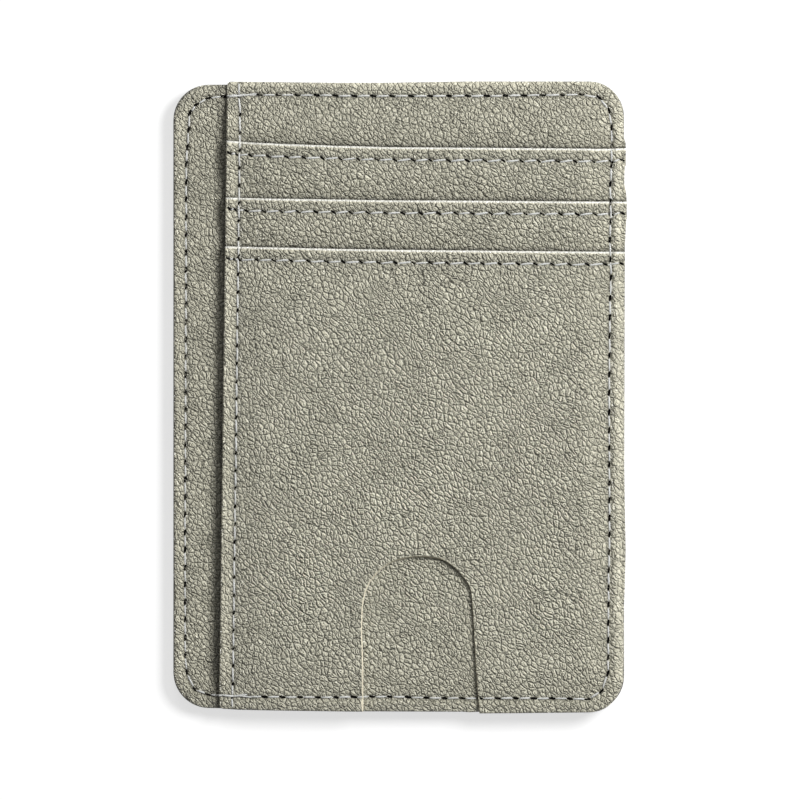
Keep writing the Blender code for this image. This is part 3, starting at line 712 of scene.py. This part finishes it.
def seenShare(panel, x, y):
    # 1 where nothing lies over the panel, 0 a little way under its neighbour
    if panel["node"] == "base_panel":
        return smooth(openEdge(y) - x, -0.6, 0.0)
    if panel["coming"] is None:
        return np.ones_like(x)
    share = smooth(y - mouthLine(panel["side"], panel["coming"], x), *hem["seenFrom"])
    if panel["node"] == "slot_2_panel":
        left, right, crown = archGaps(x, y)
        share = np.maximum(share, smooth(np.minimum(left, right), 0.0, 0.5) * (crown > -0.3))
    return share


def panelFace(panel, x, y, detail=True):
    # height of the panel's outer face, in millimetres
    side = panel["side"]
    face = press(side, panelMiddle(panel, x, y), x, y) + side * sheets["leather"] / 2
    if not detail:
        return face
    away = panelRim(panel, x, y)
    relief = undulation(x, y, panel["seed"]) * smooth(away, 0.0, rim["calm"])
    beadAt = np.clip(away / rim["beadWide"], 0, 1)  # the rolled rim, narrower along the open side
    pastOpen = x - openEdge(y)
    openSide = smooth(pastOpen, *rim["openFrom"]) * (1 - smooth(pastOpen, *rim["openTo"])) * (not panel["fullWidth"])
    relief += rim["bead"] * (1 - openSide) * hump(beadAt ** rim["lean"])
    relief += rim["openBead"] * openSide * hump(beadAt)
    relief += rim["swell"] * fading(away - rim["swellAt"], rim["swellWide"])
    if panel["mouth"] is not None:
        below = mouthLine(side, panel["mouth"], x) - y
        lower = hem["lowerBulge"] * hump((below - hem["reach"]) / hem["lowerReach"])
        relief += hem["bulge"] * (hump(below / hem["reach"]) + lower) - hem["stepDeep"] * smooth(below, *hem["stepAt"])
    relief = relief * seenShare(panel, x, y)
    if panel["coming"] is not None:
        above = y - mouthLine(side, panel["coming"], x)
        relief -= hem["sink"] * fading(np.maximum(above, 0), hem["sinkReach"])
    face = face + side * (relief - sewnDip(side, x, y))
    return face if side > 0 else np.maximum(face, 0.01)  # the table flattens what would bulge below it


def march(low, high, stepAt):
    places = [low]
    while places[-1] < high:
        places.append(places[-1] + stepAt(places[-1]))
    places = np.array(places)
    return low + (places - low) * (high - low) / (places[-1] - low)


detailSteps = {"nearMouth": 0.16, "edge": 0.07, "growth": 0.22, "nearSeam": 0.27, "open": 0.5, "hidden": 2.2,
               "seamReach": 4.5, "covered": -29.0}


def finestStep(most, near):
    return min(detailSteps["edge"] + detailSteps["growth"] * max(near, 0), most)


def stationsOf(panel):
    halfWidth = outline["halfWidth"]
    left = -halfWidth if panel["fullWidth"] else float(openEdge(0.0))

    def stepAt(x):
        near = min(x - left, halfWidth - x)
        most = detailSteps["nearSeam"] if near < detailSteps["seamReach"] else detailSteps["open"]
        if panel["node"] == "base_panel" and x > detailSteps["covered"]:
            most = detailSteps["hidden"]
        if panel["node"] == "slot_2_panel" and arch["fineBox"][0] < x < arch["fineBox"][1]:
            most = detailSteps["nearSeam"]
        return finestStep(most, near)
    return march(left, halfWidth, stepAt)


def rowsOf(panel):
    # heights at x = 0, from the foot up to the top or to where the hem's nose begins
    foot = float(panelFoot(panel, np.array([0.0]))[0])
    hemmed = panel["mouth"] is not None
    top = float(panelTop(panel, np.array([0.0]))[0]) - hem["nose"] * hemmed

    def stepAt(y):
        seen = y > panel["shown"]
        toTop = 99 if hemmed else top - y
        most = detailSteps["open"] if seen else detailSteps["hidden"]
        inHem = hemmed and top - y < hem["turn"] + 1
        inArch = panel["node"] == "slot_2_panel" and y < arch["fineBox"][2]
        if inArch or seen and (inHem or min(y - foot, toTop) < detailSteps["seamReach"]):
            most = detailSteps["nearSeam"]
        if panel["coming"] is not None and panel["side"] > 0:
            line = mouthLine(1, panel["coming"], np.array([-32.0, 40.0]))
            if y < line[0] + 0.7:
                most = min(most, max(line[1] - 0.5 - y, detailSteps["nearMouth"]))
        return finestStep(most, min(y - foot if foot < -50 else 99, toTop))
    return march(foot, top, stepAt)


def makeMesh(name, points, faces, slots, materials):
    mesh = bpy.data.meshes.new(name)
    mesh.from_pydata([tuple(p) for p in (np.asarray(points) * 0.001).tolist()], [], faces)
    for material in materials:
        mesh.materials.append(finishes[material])
    if slots is not None:
        mesh.polygons.foreach_set("material_index", np.asarray(slots, dtype=np.int32))
    return addObject(name, mesh)


def tube(count, around, side, begin=0):
    # quads between rings of points that follow each other
    quads = []
    for station in range(count - 1):
        for index in range(around):
            first, second = (begin + station * around + turn % around for turn in (index, index + 1))
            quad = (first, second, second + around, first + around)
            quads.append(quad if side < 0 else quad[::-1])
    return quads


def addAttribute(piece, name, values, kind="FLOAT"):
    layer = piece.data.attributes.new(name, kind, "POINT")
    layer.data.foreach_set("vector" if kind == "FLOAT_VECTOR" else "value",
                           np.asarray(values, dtype=np.float32).ravel())


def settle(piece, node, angle):
    piece.data.shade_smooth()
    piece.data.set_sharp_from_angle(angle=math.radians(angle))
    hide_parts(node)
    return piece


# How the open side leans and the right side bulges, for each front panel
rightEdges = {
    "top_panel": ((44.5, 45.9, 46.4, 47.0, 57), (0.3, 0.28, 0.1, -0.1, -0.05)),
    "slot_1_panel": ((34.8, 36.1, 37.0, 37.4, 39.7, 42.1, 43.3, 44.5, 46),
                     (0.48, 0.42, 0.35, 0.03, 0.03, 0.08, 0.28, 0.3, 0.3)),
    "slot_2_panel": ((-57, 25.2, 27.6, 30.0, 32.4, 34.9, 36), (-0.1, 0.13, 0.13, 0.28, 0.4, 0.5, 0.5)),
    "slot_3_panel": ((-53, -47, -40, -35, -28, -20, -10, 5, 20, 26),
                     (-0.28, -0.25, -0.12, 0.08, 0.28, 0.12, -0.02, -0.05, 0.1, 0.15)),
}


def placed(panel, x, y):
    if panel["fullWidth"]:
        return x
    share = np.clip((outline["halfWidth"] - x) / (outline["halfWidth"] - openEdge(0.0)), 0, 1)
    x = x + (openEdge(y) - openEdge(0.0)) * share
    return x + np.interp(y, *rightEdges[panel["node"]]) * smooth(x, 36.0, 40.8)


def cornered(panel, x):
    # a panel's foot and top at x, with the outline's rounded corners taken off
    foot, top, drop = panelFoot(panel, x), panelTop(panel, x), cornerDrop(x)
    if not panel["fullWidth"]:
        drop = np.where(x > 0, drop, rounded(rim["openCorner"], x - x.min()))
    if float(np.max(foot)) < -50:
        foot = foot + drop
    return foot, top - (drop if panel["mouth"] is None else hem["nose"])


# Rubbed places and painted highlights, and painted shade in grooves and under edges: shares, with reaches in
# millimetres
wearAndHighlight = {"foldDrop": 0.12, "fold": 0.36, "rimWide": 2.5, "rimLean": 0.62, "rimFlat": 0.7, "rim": 0.42, "rimEnd": 0.10,
        "rimEndFrom": (50.0, 54.0), "right": 0.2, "rightFrom": (30.0, 36.0), "topEdge": 0.42, "topEdgeFrom": 0.5,
        "topEdgeReach": 0.42, "topEdgeUntil": (35.5, 39.5)}
endBand = (51.0, 55.5)      # where the top and bottom edges begin
shade = {"groove": 0.52, "grooveDeep": 0.26, "grooveDrop": 0.16, "grooveLean": 1.5, "bottom": 0.10,
         "contact": ((0.55, 0.45), (0.24, 1.9)), "left": 0.62, "leftReach": 0.5, "leftFrom": (34.5, 39.5),
         "step": ((0.72, -0.75, 0.05), (0.36, -2.7, -0.95))}


def wearAndHighlightOf(panel, px, py, away, band, past):
    # band is the distance below the hem's nose, past counts the columns after the outer face's
    isOuter, isFold = past < 2, past < hem["noseSteps"] // 2
    # a lighter tone on the rolled rims, partly rubbed and partly painted light
    rimTone = wearAndHighlight["rim"] + (wearAndHighlight["rimEnd"] - wearAndHighlight["rim"]) * smooth(np.abs(py), *wearAndHighlight["rimEndFrom"])
    rimShare = hump(np.clip(away / wearAndHighlight["rimWide"], 0, 1) ** wearAndHighlight["rimLean"]) ** wearAndHighlight["rimFlat"]
    layers = [rimTone * rimShare * isOuter]
    if panel["mouth"] is not None:
        # painted highlight along the hem's fold, partly rubbed, and a faint painted lighter band below it
        fold = np.maximum(band + hem["nose"] - wearAndHighlight["foldDrop"], 0)
        layers += [fading(fold, wearAndHighlight["fold"]) * isFold, hem["tone"] * hump(band / hem["reach"]) * isFold]
    if panel["side"] > 0 and panel["node"] != "base_panel":
        # painted light: lighter towards the right side, which faces the lamp
        layers.append(wearAndHighlight["right"] * smooth(px, *wearAndHighlight["rightFrom"]) * isOuter)
    if panel["node"] == "top_panel":
        # painted highlight along the top edge
        edge = fading(np.maximum(away - wearAndHighlight["topEdgeFrom"], 0), wearAndHighlight["topEdgeReach"]) * isOuter
        layers.append(wearAndHighlight["topEdge"] * edge * smooth(py, *endBand) * (1 - smooth(px, *wearAndHighlight["topEdgeUntil"])))
    return np.max(layers, 0)


def shadeOf(panel, px, py, away, band, past):
    side, isOuter, isFold = panel["side"], past < 2, past < hem["noseSteps"] // 2
    sewn = sewnDip(side, px, py - shade["grooveDrop"] * (np.abs(py) < 50)) * (past < 0)
    layers = [shade["groove"] * np.clip(sewn / shade["grooveDeep"], 0, 1) ** shade["grooveLean"]]
    if panel["mouth"] is not None:
        layers.append(hem["dusk"] * smooth(band, *hem["duskFrom"]) * (1 - smooth(band, *hem["duskTo"])) * isFold)
    if side > 0:
        layers.append(shade["bottom"] * fading(away, 1.0) * smooth(-py, *endBand) * isOuter)
    if panel["coming"] is not None:
        above = py - mouthLine(side, panel["coming"], px)
        contact = sum(share * fading(np.maximum(above, 0), reach) for share, reach in shade["contact"])
        layers.append(contact * (above > -1))
    if panel["node"] == "base_panel":
        layers.append(shade["left"] * fading(away, shade["leftReach"]) * smooth(-px, *shade["leftFrom"]) * isOuter)
        for share, start, end in shade["step"]:
            layers.append(share * smooth(px - openEdge(py), start, end))
    if panel["node"] == "slot_2_panel":
        inside = np.min(archGaps(px, py), 0)
        facing = np.interp(px, *arch["facing"]) * (inside > -1.2)
        layers.append(arch["shade"] * facing * fading(inside, arch["shadeWide"]))
    return np.max(layers, 0)


# What sets the grains of the panels, of a turned hem and of an inner face apart
grainShift, turnShift, innerShift = (113.0, 71.0, 3.0), 9, 50


def leatherPanel(name, panel):
    xs, rows = stationsOf(panel), rowsOf(panel)
    side, thick, hemmed = panel["side"], sheets["leather"], panel["mouth"] is not None
    foot, top = cornered(panel, xs)
    span = min(rim["cornerSpan"], (rows[-1] - rows[0]) / 2)
    footPull = np.clip(1 - (rows - rows[0]) / span, 0, 1)
    topPull = np.clip(1 - (rows[-1] - rows) / span, 0, 1)
    y = rows[None, :] + (foot - rows[0])[:, None] * footPull + (top - rows[-1])[:, None] * topPull
    stationX = np.repeat(xs[:, None], len(rows), 1)
    outerX = placed(panel, stationX, y)
    if panel["fullWidth"]:
        own = panelRim(panel, stationX, y)
    else:
        own = rimDistance(stationX, y, stackTop, panel["foot"] or stackFoot, False)
        own = np.minimum(own, stationX - xs[0])
    outerZ = panelFace(panel, outerX, y) - side * rounded(rim["round"], own)
    innerZ = panelFace(panel, outerX, y, detail=False) - side * (thick - rounded(rim["innerRound"], own))

    inner = sorted(set(range(0, len(rows), 6)) | {len(rows) - 1})  # the inner face needs fewer rows
    columns = [np.stack([outerX, y, outerZ], -1)]
    grainRows = [np.stack([outerX, y], -1)]
    if hemmed:
        angles = np.pi * np.arange(1, hem["noseSteps"] + 1) / hem["noseSteps"]
        noseY = y[:, -1:] + hem["nose"] * np.sin(angles)
        noseX = placed(panel, np.repeat(xs[:, None], len(angles), 1), noseY)
        columns.append(np.stack([noseX, noseY, outerZ[:, -1:] - side * hem["nose"] * (1 - np.cos(angles))], -1))
        grainRows.append(np.stack([noseX, y[:, -1:] + hem["nose"] * angles], -1))
        turnY = np.repeat(y[:, -1:] - hem["turn"] + hem["nose"], 2, 1)
        turnX = placed(panel, np.repeat(xs[:, None], 2, 1), turnY)
        turnZ = panelFace(panel, turnX, turnY, detail=False) - side * np.array([2 * hem["nose"], thick])
        columns.append(np.stack([turnX, turnY, turnZ], -1))
        grainRows.append(np.stack([turnX, turnY + turnShift], -1))
        inner = [index for index in inner if rows[index] < rows[-1] - hem["turn"] - 0.4]
    backwards = inner[::-1]
    columns.append(np.stack([outerX, y, innerZ], -1)[:, backwards])
    grainRows.append(np.stack([outerX + innerShift, y], -1)[:, backwards])
    loops, grain = np.concatenate(columns, 1), np.concatenate(grainRows, 1).reshape(-1, 2)
    count, around = loops.shape[:2]

    faces = tube(count, around, side)
    cutColumns = {around - 1} if hemmed else {len(rows) - 1, around - 1}
    slots = [int(index in cutColumns) for index in range(around)] * (count - 1)
    # end walls, in pieces between matching outer and inner rows
    innerStart = around - len(inner)
    for station, flip in ((0, side < 0), (count - 1, side > 0)):
        rings = [list(range(low, high + 1)) + [around - 2 - number, around - 1 - number]
                 for number, (low, high) in enumerate(zip(inner, inner[1:]))]
        if hemmed:
            rings.append(list(range(inner[-1], innerStart + 1)))
        for ring in rings:
            ring = tuple(station * around + index for index in ring)
            faces.append(ring if flip else ring[::-1])
            slots.append(1)
    piece = makeMesh(name, loops.reshape(-1, 3), faces, slots, ["leather", "cutEdge"])

    px, py = loops[:, :, 0], loops[:, :, 1]
    spots = (px, py, panelRim(panel, px, py), top[:, None] - py, np.arange(around) - len(rows))
    shift = np.array(grainShift) * panel["seed"]
    addAttribute(piece, "grain", np.column_stack([grain, np.zeros(len(grain))]) + shift, "FLOAT_VECTOR")
    addAttribute(piece, "wearAndHighlight", wearAndHighlightOf(panel, *spots))
    addAttribute(piece, "shade", shadeOf(panel, *spots))
    return settle(piece, panel["node"], 50)


# Thumb arch and window are cut through with a cutter each

def archOutline():
    # a smooth line through the measured points, from the left foot over the crown to the right foot
    points = [(archLeft[1][0], -60.0)] + [(x, y) for y, x in zip(*archLeft)][:-1] + list(zip(*archCrown))
    points += [(x, y) for y, x in zip(*archRight)][-2::-1] + [(archRight[1][0], -60.0)]
    path = [points[0]]
    for corners in zip(points, points[1:], points[2:], points[3:]):
        for t in (0.0, 0.25, 0.5, 0.75):
            path.append(tuple(0.5 * (2 * b + (c - a) * t + (2 * a - 5 * b + 4 * c - d) * t * t
                                     + (3 * b - a - 3 * c + d) * t ** 3) for a, b, c, d in zip(*corners)))
    return path + points[-2:]


def refreshNewPoints(piece, seed):
    # points that a cut adds hold no grain place of their own
    mesh = piece.data
    layers = mesh.attributes
    places, grain = (np.zeros(len(mesh.vertices) * 3, dtype=np.float32) for _ in range(2))
    mesh.vertices.foreach_get("co", places)
    layers["grain"].data.foreach_get("vector", grain)
    places, grain = places.reshape(-1, 3) * (1000, 1000, 0), grain.reshape(-1, 3)
    shift = np.array(grainShift) * seed
    fresh = np.abs(grain[:, 2] - shift[2]) > 0.01
    grain[fresh] = places[fresh] + shift
    layers["grain"].data.foreach_set("vector", grain.ravel())
    for name in ("wearAndHighlight", "shade"):
        values = np.zeros(len(grain), dtype=np.float32)
        layers[name].data.foreach_get("value", values)
        values[fresh] = 0.0
        layers[name].data.foreach_set("value", values)
    print("cut points refreshed:", int(fresh.sum()))


cutting = {"over": 0.8, "under": {1: 0.9, -1: 0.62}, "reach": 0.9}


def cutThrough(piece, path, low, high, panel):
    # the wall leans, and meets the panel's outer face on the given outline
    side, count, path = panel["side"], len(path), np.array(path)
    ends = (low, high)[::side]
    tangent = np.roll(path, -1, 0) - np.roll(path, 1, 0)
    tangent /= np.maximum(np.hypot(*tangent.T), 1e-9)[:, None]
    outward = np.stack([tangent[:, 1], -tangent[:, 0]], -1)
    face = panelFace(panel, path[:, 0], np.clip(path[:, 1], -57.0, 57.0), detail=False)
    # the side that faces the light leans more
    draft = np.interp(outward[:, 0], (-0.3, 0.5), arch["draft"])[:, None] * (side > 0)
    wide, narrow = path + outward * draft * cutting["over"], path - outward * draft * cutting["reach"]
    levels = [(narrow, np.full(count, ends[0])), (narrow, face - side * cutting["under"][side]),
              (wide, face + side * cutting["over"]), (wide, np.full(count, ends[1]))][::side]
    points = [(x, y, z) for ring, heights in levels for (x, y), z in zip(ring, heights)]
    faces = [tuple(range(count))[::-1], tuple(range(3 * count, 4 * count))]
    for level in range(3):
        for k in range(count):
            a, b = level * count + k, level * count + (k + 1) % count
            faces += [(a, b, b + count), (a, b + count, a + count)]
    cutter = makeMesh(piece.name + "Cutter", points, faces, None, ["cutEdge"])
    bpy.context.view_layer.update()
    cut = piece.modifiers.new("cut", "BOOLEAN")
    cut.operation, cut.solver, cut.object, cut.material_mode = "DIFFERENCE", "EXACT", cutter, "TRANSFER"
    shaped = bpy.data.meshes.new_from_object(piece.evaluated_get(bpy.context.evaluated_depsgraph_get()))
    work = bmesh.new()
    work.from_mesh(shaped)
    bmesh.ops.holes_fill(work, edges=[edge for edge in work.edges if edge.is_boundary], sides=12)
    work.to_mesh(shaped)
    work.free()
    piece.modifiers.clear()
    piece.data = shaped
    bpy.data.objects.remove(cutter)
    refreshNewPoints(piece, panel["seed"])
    piece.data.shade_smooth()
    piece.data.set_sharp_from_angle(angle=math.radians(40))


made = {}
for panelName, panelSettings in panels.items():
    made[panelName] = leatherPanel(panelName, panelSettings)
    print("leather panel", panelName, len(made[panelName].data.polygons), "faces")
cutThrough(made["slot3Leather"], archOutline()[::-1], 2.0, 9.0, panels["slot3Leather"])
cutThrough(made["windowLeather"], windowPath()[::-1], -3.0, 0.75, panels["windowLeather"])
print("arch and window cut")


# Threads: one stitch between two needle holes, and the slit that the needle leaves, drawn as a dark lens of painted
# shadow

topmost = {1: ("slot3Leather", "slot2Leather", "slot1Leather", "topBandLeather"),
           -1: ("windowLeather", "backSlot2Leather", "backSlot1Leather", "backTopBandLeather")}


def faceAt(side, x, y):
    # outer face of whatever leather lies on top at each point
    height = panelFace(panels[topmost[side][0]], x, y)
    for number, name in zip((2, 1, 0), topmost[side][1:]):
        shows = y > mouthLine(side, number, x)
        if name == "slot2Leather":
            shows = shows | (np.min(archGaps(x, y), 0) > 0)
        height = np.where(shows, panelFace(panels[name], x, y), height)
    if side > 0:
        height = np.where(x < openEdge(y) - 0.05, panelFace(panels["baseLeather"], x, y), height)
    return height


stitch = {"rings": 11, "around": 8, "depth": 0.26, "rise": 0.36, "lockRise": 0.46, "lockGap": 0.1,
          "bow": (-0.03, 0.05), "end": 0.55, "twist": 0.35, "spread": 5.3,
          "slitPoints": 12, "slitPointed": 0.8, "slitLift": 0.03, "slitMiddle": 0.02, "slitThick": 0.12,
          "slitLean": 1.6, "offEdge": 56.2}
lockStitches = (  # back-stitches that lock the thread lie over the row
    ((-32.4, -53.95), (-29.3, -54.35)), ((-30.9, -54.3), (-27.3, -53.95)), ((-29.7, -54.0), (-26.4, -54.5)),
    ((-31.0, 54.2), (-27.6, 54.65)), ((-29.2, 54.3), (-25.6, 54.75)))


def directions(start, end):
    along = np.array(end) - np.array(start)
    along = along / max(np.hypot(*along), 1e-9)
    return along, np.array([-along[1], along[0]])


def addStitch(parts, side, start, end, number, gap, lean, rise):
    along, across = directions(start, end)
    shares, around = np.linspace(0, 1, stitch["rings"])[:, None], stitch["around"]
    first = np.array(start) + along * gap - across * lean
    last = np.array(end) - along * gap + across * lean
    centre = first + (last - first) * shares + across * np.sin(np.pi * shares) * randomSewing.uniform(*stitch["bow"])
    lift = stitch["depth"] - rise * np.sin(np.pi * np.clip(shares * 0.94 + 0.03, 0, 1)) ** 0.4
    swell = stitch["end"] + (1 - stitch["end"]) * np.sin(np.pi * np.clip(shares * 0.9 + 0.05, 0, 1)) ** 0.6
    radius = sewing["threadRadius"] * randomSewing.uniform(0.9, 1.1) * swell
    level = faceAt(side, centre[:, 0], centre[:, 1])[:, None] - side * lift
    angles = 2 * np.pi * np.arange(around) / around
    ring = centre[:, None, :] + across * (radius * np.cos(angles))[:, :, None]
    height = np.maximum(0.0, level + side * sewing["threadFlat"] * radius * np.sin(angles))
    begin = len(parts["points"])
    parts["points"] += np.dstack([ring, height]).reshape(-1, 3).tolist()
    run = shares * math.dist(start, end) + number * stitch["spread"] + 0 * angles
    parts["grain"] += np.dstack([run, 0 * run + angles * stitch["twist"], 0 * run]).reshape(-1, 3).tolist()
    end = len(parts["points"])
    caps = (tuple(range(begin, begin + around)), tuple(range(end - around, end))[::-1])
    faces = tube(stitch["rings"], around, side, begin) + [cap if side > 0 else cap[::-1] for cap in caps]
    parts["faces"] += faces
    parts["slots"] += [0] * len(faces)


def addSlit(parts, side, hole, before, after, half, slant):
    # a thin dark lens on the leather, a painted shadow for the slit
    along, across = directions(before, after)
    edge, wide = stitch["slitPoints"], sewing["slitWide"] * randomSewing.uniform(0.85, 1.15)
    lean = -slant * stitch["slitLean"] / max(half, 0.2)
    angles = 2 * np.pi * np.arange(edge) / edge
    run, out = (reach * np.copysign(np.abs(turn) ** stitch["slitPointed"], turn)
                for reach, turn in ((half, np.cos(angles)), (wide, np.sin(angles))))
    places = np.array(hole) + run[:, None] * along + (out + lean * run)[:, None] * across
    places = np.vstack([places, hole])
    level = faceAt(side, places[:, 0], places[:, 1]) + side * stitch["slitLift"]
    level[-1] += side * stitch["slitMiddle"]
    begin, low = len(parts["points"]), len(parts["points"]) + edge + 1
    for heights in (np.maximum(0.0, level), level - side * stitch["slitThick"]):
        parts["points"] += np.column_stack([places, heights]).tolist()
        parts["grain"] += np.column_stack([places, 0 * heights]).tolist()
    for corner in range(edge):
        nextCorner = (corner + 1) % edge
        for face in ((begin + corner, begin + nextCorner, begin + edge), (low + nextCorner, low + corner, low + edge),
                     (low + corner, low + nextCorner, begin + nextCorner, begin + corner)):
            parts["faces"].append(face if side > 0 else face[::-1])
            parts["slots"].append(1)


def stitchRow(name, node, side, row, slitHalf, slant):
    holes, closed = sewnRows[side][row], row in closedRows
    parts = {"points": [], "faces": [], "slots": [], "grain": []}
    pairs = stitchPairs(side, row)
    plain = len(pairs)
    if side > 0 and closed:
        pairs += lockStitches
    for number, (start, end) in enumerate(pairs):
        if math.dist(start, end) < 0.5:
            continue
        gap, rise = stitch["lockGap"], stitch["lockRise"]
        if number < plain:
            gap, rise = min(slitHalf * 0.9, math.dist(start, end) * 0.2), stitch["rise"]
        addStitch(parts, side, start, end, number, gap, slant * randomSewing.uniform(0.7, 1.3), rise)
    for index, hole in enumerate(holes):
        before = holes[index - 1] if index or closed else hole
        after = holes[(index + 1) % len(holes)] if index < len(holes) - 1 or closed else hole
        half = slitHalf * randomSewing.uniform(0.85, 1.15)
        if side > 0 and closed and hole == sewing["longSlitAt"]:
            half = sewing["longSlit"]
        if abs(hole[1]) < stitch["offEdge"]:  # past it the thread runs over the edge
            addSlit(parts, side, hole, before, after, half, slant)
    piece = makeMesh(name, parts["points"], parts["faces"], parts["slots"], ["thread", "hole"])
    addAttribute(piece, "grain", parts["grain"], "FLOAT_VECTOR")
    print("stitches", name, len(holes), "holes")
    return settle(piece, node, 60)


rowSettings = (
    ("outerStitchesFront", "outer_thread_front", 1, "outer", 0.58, 0.04),
    ("openEdgeStitches", "open_edge_thread", 1, "openEdge", 0.3, 0.05),
    ("hem1Stitches", "slot_1_hem_thread", 1, "hem1", 0.46, 0.15),
    ("hem2Stitches", "slot_2_hem_thread", 1, "hem2", 0.46, 0.15),
    ("hem3Stitches", "slot_3_hem_thread", 1, "hem3", 0.42, 0.13),
    ("outerStitchesBack", "outer_thread_back", -1, "outer", 0.45, -0.10),
    ("backHem1Stitches", "back_hem_1_thread", -1, "hem1", 0.40, -0.12),
    ("backHem2Stitches", "back_hem_2_thread", -1, "hem2", 0.40, -0.12),
    ("backHem3Stitches", "back_hem_3_thread", -1, "hem3", 0.40, -0.12),
    ("windowStitches", "window_thread", -1, "window", 0.40, -0.10),
)
for rowSetting in rowSettings:
    made[rowSetting[0]] = stitchRow(*rowSetting)


# Pocket cloths, lining and foils between the leathers

thinKinds = {
    "cloth": {"finish": "cloth", "thick": 0.12, "inset": 1.5, "ripple": 0.25},
    "lining": {"finish": "cloth", "thick": 0.12, "inset": 0.6, "ripple": 0.25},
    "foil": {"finish": "foil", "thick": 0.08, "inset": 3.2, "ripple": 0.2},
}
thinSteps = {"side": 0.35, "sideReach": 6.0, "open": 1.6, "end": 0.006, "endReach": 0.07, "middle": 0.02}
rippleScale, hangDrop = 2.2, 0.3
thinSheets = (  # name, node, side, level, kind, mouth that it hangs below, leather that it is sewn to
    ("topPocketCloth", "top_pocket_cloth", 1, 3.99, "cloth", 0, "topBandLeather"),
    ("slot1PocketCloth", "slot_1_pocket_cloth", 1, 4.19, "cloth", 1, "slot1Leather"),
    ("cashPocketLining", "cash_pocket_lining", 1, 3.63, "lining", None, "topBandLeather"),
    ("backTopPocketCloth", "back_top_pocket_cloth", -1, 1.84, "cloth", 0, "backTopBandLeather"),
    ("backSlot1PocketCloth", "back_slot_1_pocket_cloth", -1, 1.64, "cloth", 1, "backSlot1Leather"),
    ("frontShieldFoil", "front_shield_foil", 1, 3.81, "foil", None, None),
    ("backShieldFoil", "back_shield_foil", -1, 2.02, "foil", None, None),
)


def thinSheet(name, node, side, middle, kind, mouth):
    # a front sheet starts at the open edge, a back one reaches both sides
    kind, halfWidth = thinKinds[kind], outline["halfWidth"]
    inset, half = kind["inset"], side * kind["thick"] / 2
    start, end = inset + (float(openEdge(0.0)) if side > 0 else -halfWidth), halfWidth - inset
    xs = march(start, end, lambda x: thinSteps["side" if min(x - start, end - x) < thinSteps["sideReach"] else "open"])
    corner = cornerDrop(xs, inset) * ((xs > 0) | (side < 0))
    foot = baseFoot(xs) + inset + corner
    high = baseTop(xs) - inset - corner if mouth is None else mouthLine(side, mouth, xs) - hangDrop
    shares = march(0.0, 1.0, lambda at: thinSteps["end" if min(at, 1 - at) < thinSteps["endReach"] else "middle"])
    y = foot[:, None] + (high - foot)[:, None] * shares
    x = np.repeat(xs[:, None], len(shares), 1)
    if side > 0:
        x = x + (openEdge(y) - openEdge(0.0)) * (halfWidth - x) / (halfWidth - openEdge(0.0))
    level = press(side, middle + 0 * x, x, y) + kind["ripple"] * undulation(x * rippleScale, y * rippleScale, middle)
    outer = np.stack([x, y, level + half], -1)
    inner = np.stack([x, y, level - half], -1)[:, ::-1]
    loops = np.concatenate([outer, inner], 1)
    count, around = loops.shape[:2]
    faces = tube(count, around, side)
    for begin, flip in ((0, side < 0), ((count - 1) * around, side > 0)):
        for index in range(around // 2 - 1):
            quad = (begin + index, begin + index + 1, begin + around - 2 - index, begin + around - 1 - index)
            faces.append(quad if flip else quad[::-1])
    piece = makeMesh(name, loops.reshape(-1, 3), faces, None, [kind["finish"]])
    flat = (float(xs[-1] - xs[0]) * 0.001, float(np.max(high) - np.min(foot)) * 0.001)
    reach = high - foot
    area = float(np.sum((reach[1:] + reach[:-1]) / 2 * np.diff(xs))) * 1e-6
    return settle(piece, node, 50), flat, area


for *thinSettings, sewnTo in thinSheets:
    clothPiece, clothFlat, clothArea = thinSheet(*thinSettings)
    made[clothPiece.name] = clothPiece
print("cloths and foils made")

for piece in made.values():
    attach(piece, "root")
for nodeName, finishName in (("stiffener_board", "board"), ("window_film", "film")):
    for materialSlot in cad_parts[nodeName].material_slots:
        materialSlot.material = finishes[finishName]
